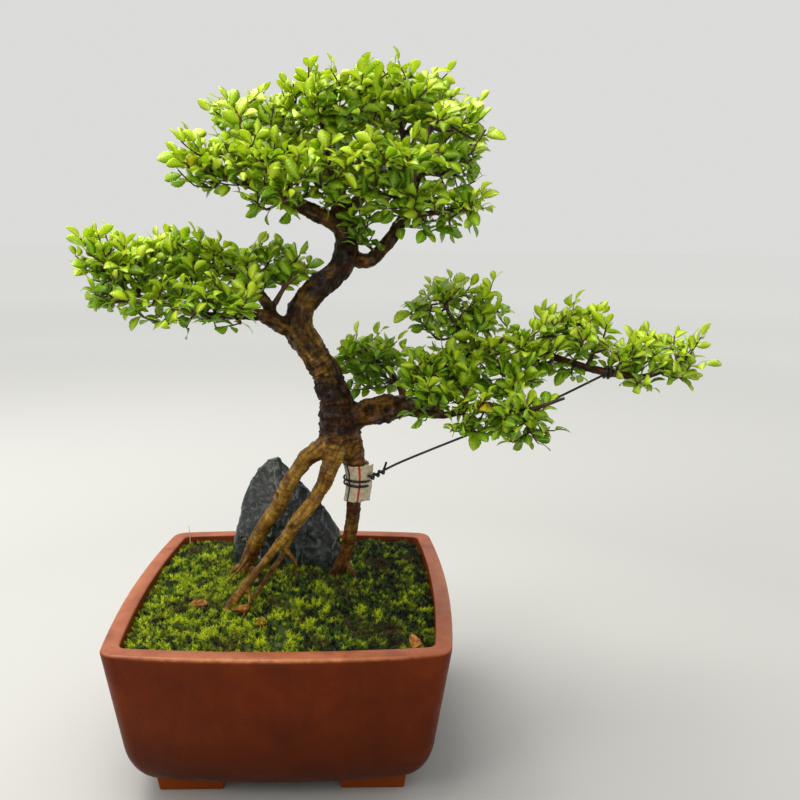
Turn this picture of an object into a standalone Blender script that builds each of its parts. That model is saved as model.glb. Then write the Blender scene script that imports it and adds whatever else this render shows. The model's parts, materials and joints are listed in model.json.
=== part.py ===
"""Bonsai tree in a square clay pot: a small-leaved tree on bare roots that straddle a standing stone.

The pot stands on four feet and is filled with soil under a pad of moss. The tree is one piece of wood,
its leaves are gathered in pads, and a guy wire runs from a sleeve on one root to the outermost limb.
Units are metres, +Z is up, -Y is the front. The origin ends up on the ground, under the middle of the
whole piece. Points of grown shapes are given in millimetres from the pot's axis and the moss's crown.
"""

from math import atan2, cos, floor, pi, sin, sqrt

import bmesh
import bpy
from mathutils import Matrix, Vector, noise

MM = 0.001

# Pot
POT_WIDTH = 280 * MM  # across the middle of two facing sides, at the rim
POT_HEIGHT = 135 * MM  # ground to rim
FOOT_HEIGHT = 14 * MM
FOOT_LENGTH = 56 * MM
FOOT_DEPTH = 50 * MM
FOOT_SETBACK = 6 * MM  # of a foot's outer faces from the edge of the pot's underside
FOOT_DRAFT = 2.5 * MM  # how far a foot draws in on its way down
FOOT_ROOTED = 5 * MM  # how far a foot runs up into the pot's body
WALL = 14 * MM
FLOOR = 12 * MM
SIDE_BOW = 7 * MM  # how far a side bulges past a straight line between its corners
CORNER_RADIUS = 14 * MM
INNER_BOW = 6 * MM
INNER_CORNER_RADIUS = 7 * MM
TAPER = 0.13  # how far a side leans in for each unit down from the rim
HEEL_WIDTH = 17 * MM  # the rounded lower edge
HEEL_HEIGHT = 35 * MM
LIP_RADIUS = 2.5 * MM
DRAIN_RADIUS = 14 * MM

# Drainage
MESH_OPENINGS = 6
MESH_PITCH = 7 * MM
MESH_BAR = 1.8 * MM
MESH_THICKNESS = 1.2 * MM
CLIP_WIRE = 2 * MM
CLIP_FOOT = 9 * MM  # how far each leg is bent out under the floor

# Soil, moss and stone
MOSS_DROP = 9 * MM  # moss below the rim, along the wall
MOSS_DOME = 12 * MM  # crown of the moss above its edge
MOSS_THICKNESS = 9 * MM
MOSS_LUMP = 1.5 * MM
STONE_HEIGHT = 100 * MM  # above the moss's crown
STONE_SUNK = 13 * MM

# Tree, its sleeve and its guy wire
TREE_HEIGHT = 451 * MM  # moss's crown to the top of the leaves
TREE_SPREAD = 514 * MM  # tip of the left branch's leaves to tip of the right branch's
DRAWN_HEIGHT = 451  # the same two sizes in the points below
DRAWN_SPREAD = 514
DRAWN_STONE_HEIGHT = 100
SLEEVE_LENGTH = 34 * MM
SLEEVE_WALL = 1.4 * MM
GUY_WIRE = 2 * MM
GUY_TURNS = 2
GUY_PITCH = 4.5 * MM

GAP = 0.35 * MM  # between pieces that touch
LEAF_GAP = 1.0 * MM  # between leaf pads, and between them and the wood
ROOT_CLEARANCE = 2 * MM  # from a buried root to the pot's wall

SIDE_STEPS = 4
CORNER_STEPS = 3

# Each limb is a run of (x, y, z, radius). The trunk leans left, swings back and ends under the crown.
TRUNK = [(42, 0, 122, 19), (41, 0, 149, 17), (40, 0, 163, 15), (36, 0, 174, 13.7), (30, -2, 190, 12.7),
         (18, -4, 209, 12.2), (8, -5, 227, 13.4), (10, -4, 239, 11.5), (17, -2, 252, 11), (31, 0, 265, 10.4),
         (44, 2, 277, 10.4), (48, 4, 296, 10), (44, 5, 319, 9)]
ROOTS = {
    "left": [(43, -4, 124, 10), (25, -6, 122, 8), (11, -6, 110, 7.3), (0, -4, 93, 7.3), (-10, -1, 72, 7),
             (-27, 5, 44, 6.8), (-38, 12, 20, 6.8), (-42, 17, 2, 7.3), (-50, 24, -28, 6), (-58, 30, -53, 3.5)],
    "front": [(39, -8, 121, 9), (36, -14, 113, 7), (24, -26, 85, 6), (6, -33, 64, 6), (-2, -36, 54, 4.6),
              (-20, -43, 32, 3.6), (-34, -47, 15, 3.7), (-45, -51, 1, 4.2), (-58, -60, -20, 3.4),
              (-70, -66, -38, 2.2)],
    "front_fork": [(6, -33, 60, 4.2), (1, -33, 49, 3), (-5, -34, 36, 2.6), (-21, -37, 13, 2.4),
                   (-30, -39, -2, 2.6), (-42, -42, -25, 1.6)],
    "right": [(50, 0, 124, 11), (56, 0, 109, 7), (58, 2, 91, 6.6), (55, 5, 68, 6.6), (52, 9, 40, 6.4),
              (48, 11, 22, 6), (40, 14, 2, 6), (26, 20, -24, 5), (12, 26, -44, 3)],
    "rear": [(44, 10, 121, 9), (51, 27, 103, 5.8), (56, 40, 80, 5), (55, 62, 49, 4.8), (51, 80, 16, 4.8),
             (47, 94, -6, 5), (38, 102, -34, 3)],
}
LIMBS = {
    "left_low": [(8, -5, 227, 9), (-4, -8, 228, 8), (-14, -12, 234, 7), (-22, -18, 238, 5.4), (-36, -26, 238, 3.7),
                 (-64, -36, 240, 2.5), (-91, -40, 252, 2), (-118, -42, 255, 1.7), (-142, -40, 272, 1.2)],
    "left_high": [(-12, -10, 235, 5.8), (-17, -8, 246, 5), (-26, -2, 255, 5), (-35, 6, 261, 4.6),
                  (-55, 18, 270, 2.7), (-95, 28, 278, 1.7)],
    "left_spur": [(-13, -8, 243, 3), (-2, -10, 261, 1.7), (7, -12, 268, 1.2)],
    "right": [(42, 0, 150, 12), (58, -2, 151, 12), (82, -4, 158, 12), (94, -2, 160, 9.8), (107, 2, 160, 8),
              (122, 8, 164, 6.5), (136, 14, 176, 5.7), (145, 18, 191, 5.3), (155, 20, 203, 5.2), (165, 20, 204, 4.4),
              (180, 14, 214, 3.7), (197, 8, 216, 3.5), (219, 0, 206, 3.4), (237, -6, 200, 3.4), (261, -12, 194, 3.7),
              (281, -16, 191, 3.4), (300, -19, 190, 2.7), (338, -22, 206, 1.3)],
    "right_top": [(153, 20, 202, 5), (147, 24, 220, 3.2), (133, 24, 245, 1.7)],
    "right_low": [(94, -3, 160, 7.5), (114, -22, 158, 4.4), (134, -36, 160, 3.3), (158, -50, 171, 2.8),
                  (188, -61, 168, 2.4), (221, -67, 180, 1.2)],
    "right_back": [(107, 2, 160, 6.4), (98, 20, 167, 4), (93, 36, 175, 3.2), (82, 50, 186, 2.4), (49, 65, 203, 1.4)],
    "crown_left": [(46, 4, 305, 8.3), (38, 2, 313, 7.5), (19, -3, 322, 6.9), (1, -10, 330, 5.2),
                   (-23, -20, 338, 3.2), (-57, -30, 350, 1.6)],
    "crown_right": [(46, 6, 289, 8), (55, 6, 284, 6.8), (65, 4, 282, 6.3), (75, 2, 289, 6.3), (91, -6, 311, 5.3),
                    (101, -12, 334, 3.6), (112, -14, 372, 2.4), (115, -14, 393, 1.6)],
    "crown_right_low": [(94, -9, 320, 3.4), (123, -26, 322, 2), (150, -36, 327, 1.2)],
    "crown_centre": [(44, 5, 317, 8.4), (40, 8, 331, 6.6), (35, 12, 347, 5), (31, 14, 364, 3.7), (27, 16, 399, 2.1)],
    "crown_mid_right": [(46, 6, 317, 7), (58, 14, 332, 5.4), (71, 24, 344, 4.2), (85, 32, 356, 3.4),
                        (96, 38, 375, 2.6), (90, 40, 408, 1.7), (84, 40, 435, 1.3)],
}
LIMB_SIDES = {"trunk": 12, "right": 8}
THIN_LIMB_SIDES = 6

# Leaf pads: centre and radii
PADS = {
    "crown_tip_left": ((-56, -28, 353), (36, 42, 31)),
    "crown_left": ((-26, 10, 386), (46, 56, 35)),
    "crown_top": ((42, 0, 407), (48, 62, 33)),
    "crown_top_right": ((92, 38, 416), (42, 58, 35)),
    "crown_right": ((135, 5, 375), (34, 58, 44)),
    "crown_front": ((9, -52, 345), (46, 46, 31)),
    "crown_front_right": ((80, -52, 352), (42, 46, 29)),
    "crown_low_right": ((125, -30, 322), (40, 42, 24)),
    "crown_back": ((44, 72, 378), (72, 46, 40)),
    "crown_sprig": ((59, -12, 306), (20, 16, 26)),
    "left_tip": ((-136, -38, 268), (29, 38, 38)),
    "left_middle": ((-86, -4, 276), (46, 48, 31)),
    "left_inner": ((-20, 15, 274), (44, 40, 29)),
    "left_front": ((-62, -52, 247), (54, 32, 23)),
    "right_inner": ((67, 48, 190), (40, 38, 38)),
    "right_top": ((141, 28, 236), (54, 42, 33)),
    "right_middle": ((173, -15, 194), (58, 40, 34)),
    "right_low": ((170, -60, 160), (56, 34, 26)),
    "right_outer": ((235, 0, 216), (50, 46, 36)),
    "right_tip": ((310, -20, 204), (39, 40, 36)),
    "right_front": ((116, -30, 184), (32, 34, 36)),
}
PAD_SEGMENTS = 12
PAD_RINGS = 8
PAD_ROUGHNESS = 0.14  # deepest hollow of a pad, as a share of its radius

# Corners of the stone: a leaning slab with a ridge that falls to the right
STONE = [(-58, 42, -13), (-20, 31, -13), (32, 23, -13), (42, 34, -13), (40, 56, -13), (-10, 74, -13), (-52, 74, -13),
         (-62, 56, -13), (-56, 45, 24), (-18, 34, 44), (16, 30, 42), (37, 31, 20), (-61, 52, 14), (-55, 54, 40),
         (-48, 55, 67), (-38, 57, 87), (-28, 56, 96), (-17, 55, 100), (-8, 53, 93), (4, 50, 78), (25, 45, 58),
         (42, 40, 32), (-52, 74, 26), (-34, 74, 68), (-16, 71, 84), (8, 66, 62), (34, 56, 28)]

# Litter on the moss, as shares of the opening's half width: place, turn and size of each dry leaf
DRY_LEAVES = [((-0.29, -0.50), 40, 16), ((-0.13, -0.66), 115, 13), ((0.84, -0.86), 75, 17), ((-0.58, -0.40), 200, 14)]
LEAF_THICKNESS = 0.8 * MM
GRASS_BLADE = ((-0.9, 0.87), 21)  # place, as the same shares, and length of a dry blade at the back left

COLOURS = {  # sRGB and roughness
    "red_clay": ("6B2F18", 0.55), "black_plastic": ("1B1C1D", 0.5), "steel_wire": ("8C8F91", 0.35),
    "soil": ("2B2118", 0.95), "moss": ("5D8A1C", 0.95), "slate": ("2E363A", 0.35), "bark": ("6A4326", 0.6),
    "leaves": ("4F9A1A", 0.45), "woven_plastic": ("D8CBAE", 0.6), "black_wire": ("141414", 0.45),
    "dry_leaf": ("A5622A", 0.8), "dry_grass": ("C9B88A", 0.8),
}


# ---- helpers ------------------------------------------------------------------------------------


def clear_scene():
    for old in list(bpy.data.objects):
        bpy.data.objects.remove(old, do_unlink=True)


def material(name):
    """One Principled material for each finish and piece, coloured from COLOURS."""
    code, roughness = COLOURS[name]
    linear = [pow((int(code[i:i + 2], 16) / 255 + 0.055) / 1.055, 2.4) for i in (0, 2, 4)]
    made = bpy.data.materials.new(name)
    made.use_nodes = True
    shader = made.node_tree.nodes["Principled BSDF"]
    shader.inputs["Base Color"].default_value = (*linear, 1.0)
    shader.inputs["Roughness"].default_value = roughness
    return made


def add_object(name, mesh, finish):
    mesh.materials.clear()
    mesh.materials.append(material(finish))
    made = bpy.data.objects.new(name, mesh)
    bpy.context.scene.collection.objects.link(made)
    return made


def mesh_from(name, points, faces):
    mesh = bpy.data.meshes.new(name)
    mesh.from_pydata([tuple(p) for p in points], [], faces)
    mesh.update()
    return mesh


def hidden_tool(name, mesh):
    """A cutter: the model keeps it out of the finished piece."""
    tool = bpy.data.objects.new(name, mesh)
    bpy.context.scene.collection.objects.link(tool)
    tool.hide_render = True
    tool.display_type = "WIRE"
    return tool


def combine(target, tool, operation):
    """Apply one Boolean to the target's mesh."""
    step = target.modifiers.new("combine", "BOOLEAN")
    step.operation = operation
    step.solver = "EXACT"
    step.object = tool
    bpy.context.view_layer.update()
    result = bpy.data.meshes.new_from_object(target.evaluated_get(bpy.context.evaluated_depsgraph_get()))
    target.modifiers.remove(step)
    old = target.data
    target.data = result
    bpy.data.meshes.remove(old)


def keep_largest_piece(target):
    """A cut can leave crumbs: only the piece with the most faces stays."""
    shape = bmesh.new()
    shape.from_mesh(target.data)
    left = set(shape.faces)
    pieces = []
    while left:
        stack = [left.pop()]
        piece = set(stack)
        while stack:
            for edge in stack.pop().edges:
                for face in edge.link_faces:
                    if face in left:
                        left.discard(face)
                        piece.add(face)
                        stack.append(face)
        pieces.append(piece)
    largest = max(pieces, key=lambda piece: sum(face.calc_area() for face in piece))
    crumbs = [face for face in shape.faces if face not in largest]
    bmesh.ops.delete(shape, geom=crumbs, context="FACES")
    shape.to_mesh(target.data)
    shape.free()


def outline(half, bow, corner):
    """A square with bowed sides and round corners, seen from above, anticlockwise from (+x, -y)."""
    core = half - corner
    reach = core - bow
    turn = atan2(2 * bow, reach)
    points = []
    for side in range(4):
        around = Matrix.Rotation(side * pi / 2, 2)
        for step in range(SIDE_STEPS + 1):
            t = -1 + 2 * step / SIDE_STEPS
            lean = atan2(2 * bow * t, reach)
            points.append(around @ Vector((core - bow * t * t + corner * cos(lean), t * reach + corner * sin(lean))))
        for step in range(1, CORNER_STEPS):
            angle = turn + (pi / 2 - 2 * turn) * step / CORNER_STEPS
            points.append(around @ Vector((reach + corner * cos(angle), reach + corner * sin(angle))))
    return points


def loft(rings):
    """Points and faces of a closed solid through rings of equal length, capped at both ends."""
    count = len(rings[0])
    points = [point for ring in rings for point in ring]
    faces = [tuple(reversed(range(count)))]
    for row in range(len(rings) - 1):
        for i in range(count):
            a, b = row * count + i, row * count + (i + 1) % count
            faces.append((a, b, b + count, a + count))
    faces.append(tuple(range((len(rings) - 1) * count, len(rings) * count)))
    return points, faces


def ring_at(flat, z):
    return [Vector((p.x, p.y, z)) for p in flat]


def box_mesh(name, low, high):
    corners = [Vector((x, y, z)) for z in (low[2], high[2])
               for x, y in ((low[0], low[1]), (high[0], low[1]), (high[0], high[1]), (low[0], high[1]))]
    points, faces = loft([corners[:4], corners[4:]])
    return mesh_from(name, points, faces)


def cylinder_mesh(name, radius, low, high, sides=24):
    turn = [Vector((radius * cos(2 * pi * i / sides), radius * sin(2 * pi * i / sides))) for i in range(sides)]
    points, faces = loft([ring_at(turn, low), ring_at(turn, high)])
    return mesh_from(name, points, faces)


def tube_mesh(name, path, radii, sides):
    """A round bar along a path, with flat ends: a curve with a bevel."""
    curve = bpy.data.curves.new(name, "CURVE")
    curve.dimensions = "3D"
    curve.bevel_depth = 1.0
    curve.bevel_resolution = (sides - 4) // 2
    curve.use_fill_caps = True
    line = curve.splines.new("POLY")
    line.points.add(len(path) - 1)
    for knot, place, radius in zip(line.points, path, radii):
        knot.co = (*place, 1.0)
        knot.radius = radius
    holder = bpy.data.objects.new(name, curve)
    bpy.context.scene.collection.objects.link(holder)
    bpy.context.view_layer.update()
    mesh = bpy.data.meshes.new_from_object(holder.evaluated_get(bpy.context.evaluated_depsgraph_get()))
    bpy.data.objects.remove(holder)
    shape = bmesh.new()
    shape.from_mesh(mesh)
    bmesh.ops.remove_doubles(shape, verts=shape.verts, dist=0.01 * MM)
    bmesh.ops.recalc_face_normals(shape, faces=shape.faces)
    shape.to_mesh(mesh)
    shape.free()
    return mesh


def smooth_path(knots, steps):
    """Catmull-Rom points through knots of any number of components."""
    ends = [knots[0]] + list(knots) + [knots[-1]]
    path = []
    for i in range(1, len(ends) - 2):
        a, b, c, d = ends[i - 1:i + 3]
        for step in range(steps):
            t = step / steps
            path.append([0.5 * (2 * q + (r - p) * t + (2 * p - 5 * q + 4 * r - s) * t * t
                                + (3 * q - p - 3 * r + s) * t ** 3) for p, q, r, s in zip(a, b, c, d)])
    path.append(list(knots[-1]))
    return path


# ---- pot ----------------------------------------------------------------------------------------


def outer_half(z):
    """Half width of the pot's outside at a height, at the middle of a side."""
    drop = max(0.0, min(1.0, (FOOT_HEIGHT + HEEL_HEIGHT - z) / HEEL_HEIGHT))
    return POT_WIDTH / 2 - TAPER * (POT_HEIGHT - z) - HEEL_WIDTH * (1 - sqrt(1 - drop * drop))


def inner_outline(z, clearance=0.0):
    return outline(outer_half(z) - WALL - clearance, INNER_BOW, INNER_CORNER_RADIUS - clearance)


def heel_levels(start):
    """Heights up the rounded lower edge, closer together where it turns most."""
    drops = [cos(pi / 2 * i / 5) for i in range(6)]
    levels = [FOOT_HEIGHT + HEEL_HEIGHT * (1 - drop) for drop in drops]
    return [start] + [z for z in levels if z > start + 2 * MM]


def make_pot():
    rings = [ring_at(outline(outer_half(z), SIDE_BOW, CORNER_RADIUS), z) for z in heel_levels(FOOT_HEIGHT)]
    for step in range(3):
        angle = pi / 2 * step / 2
        z = POT_HEIGHT - LIP_RADIUS * (1 - sin(angle))
        inset = LIP_RADIUS * (1 - cos(angle))
        rings.append(ring_at(outline(outer_half(z) - inset, SIDE_BOW, CORNER_RADIUS - inset), z))
    rings.append(ring_at(inner_outline(POT_HEIGHT, -LIP_RADIUS / 2), POT_HEIGHT))
    rings.append(ring_at(inner_outline(POT_HEIGHT - LIP_RADIUS / 2), POT_HEIGHT - LIP_RADIUS / 2))
    for z in reversed(heel_levels(FOOT_HEIGHT + FLOOR)):
        rings.append(ring_at(inner_outline(z), z))
    pot = add_object("pot", mesh_from("pot", *loft(rings)), "red_clay")

    outer = outer_half(FOOT_HEIGHT) - FOOT_SETBACK
    top = FOOT_HEIGHT + FOOT_ROOTED
    for side_x in (-1, 1):
        for side_y in (-1, 1):
            foot_rings = []
            for z, draft in ((0.0, FOOT_DRAFT), (top, 0.0)):
                xs = sorted((side_x * (outer - draft), side_x * (outer - FOOT_LENGTH + draft)))
                ys = sorted((side_y * (outer - draft), side_y * (outer - FOOT_DEPTH + draft)))
                foot_rings.append([Vector((xs[i], ys[j], z)) for i, j in ((0, 0), (1, 0), (1, 1), (0, 1))])
            foot = hidden_tool("foot", mesh_from("foot", *loft(foot_rings)))
            combine(pot, foot, "UNION")
            bpy.data.objects.remove(foot)

    drill = hidden_tool("drain_drill", cylinder_mesh("drain_drill", DRAIN_RADIUS, 0.0, FOOT_HEIGHT + FLOOR * 2))
    combine(pot, drill, "DIFFERENCE")
    bpy.data.objects.remove(drill)


# ---- drainage mesh and its clip -----------------------------------------------------------------

MESH_BOTTOM = FOOT_HEIGHT + FLOOR + GAP
MESH_TOP = MESH_BOTTOM + MESH_THICKNESS
CLIP_ROW = 0.5 * MESH_PITCH
CLIP_REACH = sqrt(DRAIN_RADIUS ** 2 - CLIP_ROW ** 2) - CLIP_WIRE / 2 - GAP
CLIP_LEG = (floor(CLIP_REACH / MESH_PITCH - 0.5) + 0.5) * MESH_PITCH  # the outermost mesh opening over the hole
CLIP_TOP = MESH_TOP + GAP + CLIP_WIRE / 2
CLIP_BOTTOM = FOOT_HEIGHT - GAP - CLIP_WIRE / 2


def make_drain_mesh():
    """A square lattice: bars and openings alternate both ways."""
    lines = [-(MESH_OPENINGS * MESH_PITCH + MESH_BAR) / 2]
    for _ in range(MESH_OPENINGS):
        lines += [lines[-1] + MESH_BAR, lines[-1] + MESH_PITCH]
    lines.append(lines[-1] + MESH_BAR)
    count = len(lines)
    points = [Vector((x, y, z)) for z in (MESH_BOTTOM, MESH_TOP) for y in lines for x in lines]

    def index(i, j, level):
        return level * count * count + j * count + i

    def solid(i, j):
        return 0 <= i < count - 1 and 0 <= j < count - 1 and not (i % 2 and j % 2)

    faces = []
    for i in range(count - 1):
        for j in range(count - 1):
            if not solid(i, j):
                continue
            ring = [(i, j), (i + 1, j), (i + 1, j + 1), (i, j + 1)]
            faces.append([index(*p, 1) for p in ring])
            faces.append([index(*p, 0) for p in reversed(ring)])
            for k, (di, dj) in enumerate(((0, -1), (1, 0), (0, 1), (-1, 0))):
                if not solid(i + di, j + dj):
                    a, b = ring[k], ring[(k + 1) % 4]
                    faces.append([index(*a, 0), index(*b, 0), index(*b, 1), index(*a, 1)])
    add_object("drain_mesh", mesh_from("drain_mesh", points, faces), "black_plastic")


def make_mesh_clip():
    """A wire staple: over the mesh, down through the hole and out under the floor."""
    bend = CLIP_WIRE
    half = [(CLIP_LEG + CLIP_FOOT, CLIP_BOTTOM), (CLIP_LEG + bend, CLIP_BOTTOM),
            (CLIP_LEG + bend * 0.3, CLIP_BOTTOM + bend * 0.3), (CLIP_LEG, CLIP_BOTTOM + bend),
            (CLIP_LEG, CLIP_TOP - bend), (CLIP_LEG - bend * 0.3, CLIP_TOP - bend * 0.3), (CLIP_LEG - bend, CLIP_TOP)]
    path = [(-x, CLIP_ROW, z) for x, z in half] + [(x, CLIP_ROW, z) for x, z in reversed(half)]
    add_object("mesh_clip", tube_mesh("mesh_clip", path, [CLIP_WIRE / 2] * len(path), 6), "steel_wire")


# ---- soil, moss and stone -----------------------------------------------------------------------

MOSS_EDGE = POT_HEIGHT - MOSS_DROP
SOIL_LEVEL = MOSS_EDGE + MOSS_DOME  # the moss's crown, where the tree's points have z = 0
OPENING_HALF = outer_half(MOSS_EDGE) - WALL
BED_SHARES = (1.0, 0.88, 0.68, 0.45, 0.2)  # rings of the bed, as shares of the opening


def dome(share):
    """Height of the bed at a share of the way from its middle to the wall."""
    return MOSS_EDGE + MOSS_DOME * (1 - min(1.0, share) ** 2.2)


def lumps(x, y):
    rough = noise.noise(Vector((x, y, 0.0)) / (24 * MM)) + 0.5 * noise.noise(Vector((x, y, 0.02)) / (11 * MM))
    return MOSS_LUMP * rough


def moss_height(x, y):
    share = (abs(x) ** 6 + abs(y) ** 6) ** (1 / 6) / OPENING_HALF
    return dome(share) + lumps(x, y)


def bed_rings(drop, lumpy):
    """Rings from the wall to the middle of the bed, at a depth below its domed surface."""
    edge = inner_outline(MOSS_EDGE, GAP)
    rings = []
    for share in BED_SHARES:
        z = dome(share) - drop
        fit = (outer_half(z) - WALL - GAP) / (outer_half(MOSS_EDGE) - WALL - GAP) if share == 1.0 else 1.0
        flat = [p * share * fit for p in edge]
        rings.append([Vector((p.x, p.y, z + (lumps(p.x, p.y) if lumpy else 0.0))) for p in flat])
    return rings


def make_soil():
    bottom = FOOT_HEIGHT + FLOOR
    walls = [ring_at(inner_outline(z, GAP), z + (GAP if z == bottom else 0.0)) for z in heel_levels(bottom)]
    top = bed_rings(MOSS_THICKNESS + GAP, False)
    soil = add_object("soil", mesh_from("soil", *loft(walls + top)), "soil")
    half = (MESH_OPENINGS * MESH_PITCH + MESH_BAR) / 2 + GAP * 2
    reach = CLIP_LEG + CLIP_WIRE / 2 + GAP * 2
    for low, high in (
        ((-half, -half, 0.0), (half, half, MESH_TOP + GAP)),
        ((-reach, CLIP_ROW - CLIP_WIRE, 0.0), (reach, CLIP_ROW + CLIP_WIRE, CLIP_TOP + CLIP_WIRE / 2 + GAP)),
    ):
        recess = hidden_tool("recess", box_mesh("recess", low, high))
        combine(soil, recess, "DIFFERENCE")
        bpy.data.objects.remove(recess)
    return soil


def make_moss():
    under = bed_rings(MOSS_THICKNESS, False)
    top = bed_rings(0.0, True)
    return add_object("moss", mesh_from("moss", *loft(list(reversed(under)) + top)), "moss")


def grown(x, y, z):
    """A point of the tree, from its drawn millimetres to its place."""
    wide = TREE_SPREAD / DRAWN_SPREAD
    tall = TREE_HEIGHT / DRAWN_HEIGHT
    return Vector((x * wide, y * wide, SOIL_LEVEL + (z * tall if z > 0 else z * MM)))


def stone_mesh(name, swell=0.0):
    """A faceted slab, or the same slab grown until every face stands out by at least the swell."""
    wide = TREE_SPREAD / DRAWN_SPREAD
    tall = STONE_HEIGHT / DRAWN_STONE_HEIGHT
    shape = bmesh.new()
    for x, y, z in STONE:
        height = z * tall if z > 0 else -STONE_SUNK
        shape.verts.new((x * wide, y * wide, SOIL_LEVEL + height))
    hull = bmesh.ops.convex_hull(shape, input=shape.verts)
    inside = [v for v in hull["geom_interior"] if isinstance(v, bmesh.types.BMVert)]
    bmesh.ops.delete(shape, geom=inside, context="VERTS")
    bmesh.ops.recalc_face_normals(shape, faces=shape.faces)
    middle = sum((v.co for v in shape.verts), Vector()) / len(shape.verts)
    nearest = min((face.calc_center_median() - middle).dot(face.normal) for face in shape.faces)
    for vert in shape.verts:
        vert.co = middle + (vert.co - middle) * (1 + swell / nearest)
    mesh = bpy.data.meshes.new(name)
    shape.to_mesh(mesh)
    shape.free()
    return mesh


# ---- tree ---------------------------------------------------------------------------------------


def inside_pot(place, radius):
    """Draw a buried place in from the pot's wall, where the pot is too narrow for it."""
    if place.z > SOIL_LEVEL:
        return place
    half = outer_half(place.z) - WALL
    reach = [half - INNER_BOW * (other / half) ** 2 - radius - ROOT_CLEARANCE for other in (place.y, place.x)]
    x, y = (max(-limit, min(limit, value)) for value, limit in zip(place.xy, reach))
    return Vector((x, y, place.z))


def limb_mesh(name, knots, sides, swell=0.0):
    """One limb as a tapered bar; with a swell, the space that the limb needs round itself."""
    tall = TREE_HEIGHT / DRAWN_HEIGHT
    path = smooth_path(knots, 2)
    places = [inside_pot(grown(*knot[:3]), knot[3] * tall) for knot in path]
    radii = [knot[3] * tall + swell for knot in path]
    if swell:
        places[0] = places[0] + (places[0] - places[1]).normalized() * swell
        places[-1] = places[-1] + (places[-1] - places[-2]).normalized() * swell
    return tube_mesh(name, places, radii, sides)


def tree_mesh(name, swell=0.0):
    """Trunk, roots and limbs joined into one body."""
    whole = hidden_tool(name, limb_mesh(name, TRUNK, LIMB_SIDES["trunk"], swell))
    for kind, group in (("root", ROOTS), ("limb", LIMBS)):
        for label, knots in group.items():
            sides = 8 if kind == "root" else LIMB_SIDES.get(label, THIN_LIMB_SIDES)
            limb = hidden_tool(label, limb_mesh(label, knots, sides, swell))
            combine(whole, limb, "UNION")
            bpy.data.objects.remove(limb)
    mesh = whole.data
    bpy.data.objects.remove(whole)
    return mesh


# ---- sleeve and guy wire ------------------------------------------------------------------------


def right_root_at(z):
    """Middle and radius of the right-hand root at a drawn height."""
    path = smooth_path(ROOTS["right"], 2)
    for a, b in zip(path, path[1:]):
        if b[2] <= z <= a[2]:
            t = (a[2] - z) / (a[2] - b[2])
            x, y, _, r = (p + (q - p) * t for p, q in zip(a, b))
            return x, y, r
    raise ValueError("the root doesn't reach this height")


SLEEVE_MIDDLE = 91  # drawn height of the sleeve's middle on the right-hand root
SLEEVE_SIDES = 16


def sleeve_rings(radius_of):
    half = SLEEVE_LENGTH / 2 / (TREE_HEIGHT / DRAWN_HEIGHT)
    rings = []
    for step in range(5):
        z = SLEEVE_MIDDLE - half + 2 * half * step / 4
        x, y, r = right_root_at(z)
        middle = grown(x, y, z)
        radius = radius_of(r * TREE_HEIGHT / DRAWN_HEIGHT)
        rings.append([middle + Vector((radius * cos(2 * pi * i / SLEEVE_SIDES), radius * sin(2 * pi * i / SLEEVE_SIDES), 0))
                      for i in range(SLEEVE_SIDES)])
    return rings


SLEEVE_SLACK = 1.6 * MM  # between the root and the sleeve


def make_sleeve():
    """A loose wrap round the right-hand root: a wall with an open middle."""
    outer = sleeve_rings(lambda r: r + SLEEVE_SLACK + SLEEVE_WALL)
    inner = sleeve_rings(lambda r: r + SLEEVE_SLACK)
    rings = outer + list(reversed(inner))
    count = SLEEVE_SIDES
    points = [p for ring in rings for p in ring]
    faces = []
    for row in range(len(rings)):
        base, following = row * count, ((row + 1) % len(rings)) * count
        for i in range(count):
            j = (i + 1) % count
            faces.append((base + i, base + j, following + j, following + i))
    return add_object("root_sleeve", mesh_from("root_sleeve", points, faces), "woven_plastic")


GUY_RUN = [(72, -7, 99), (92, -5, 109), (117, -5, 120), (146, -8, 133), (191, -10, 152), (228, -12, 170)]
GUY_LIMB_MIDDLE = 270  # drawn x at which the wire goes round the right-hand limb
COIL_STEPS = 8


def limb_at(knots, x):
    path = smooth_path(knots, 2)
    for a, b in zip(path[8:], path[9:]):
        if a[0] <= x <= b[0]:
            t = (x - a[0]) / (b[0] - a[0])
            return [p + (q - p) * t for p, q in zip(a, b)], Vector([q - p for p, q in zip(a[:3], b[:3])])
    raise ValueError("the limb doesn't reach this place")


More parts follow.
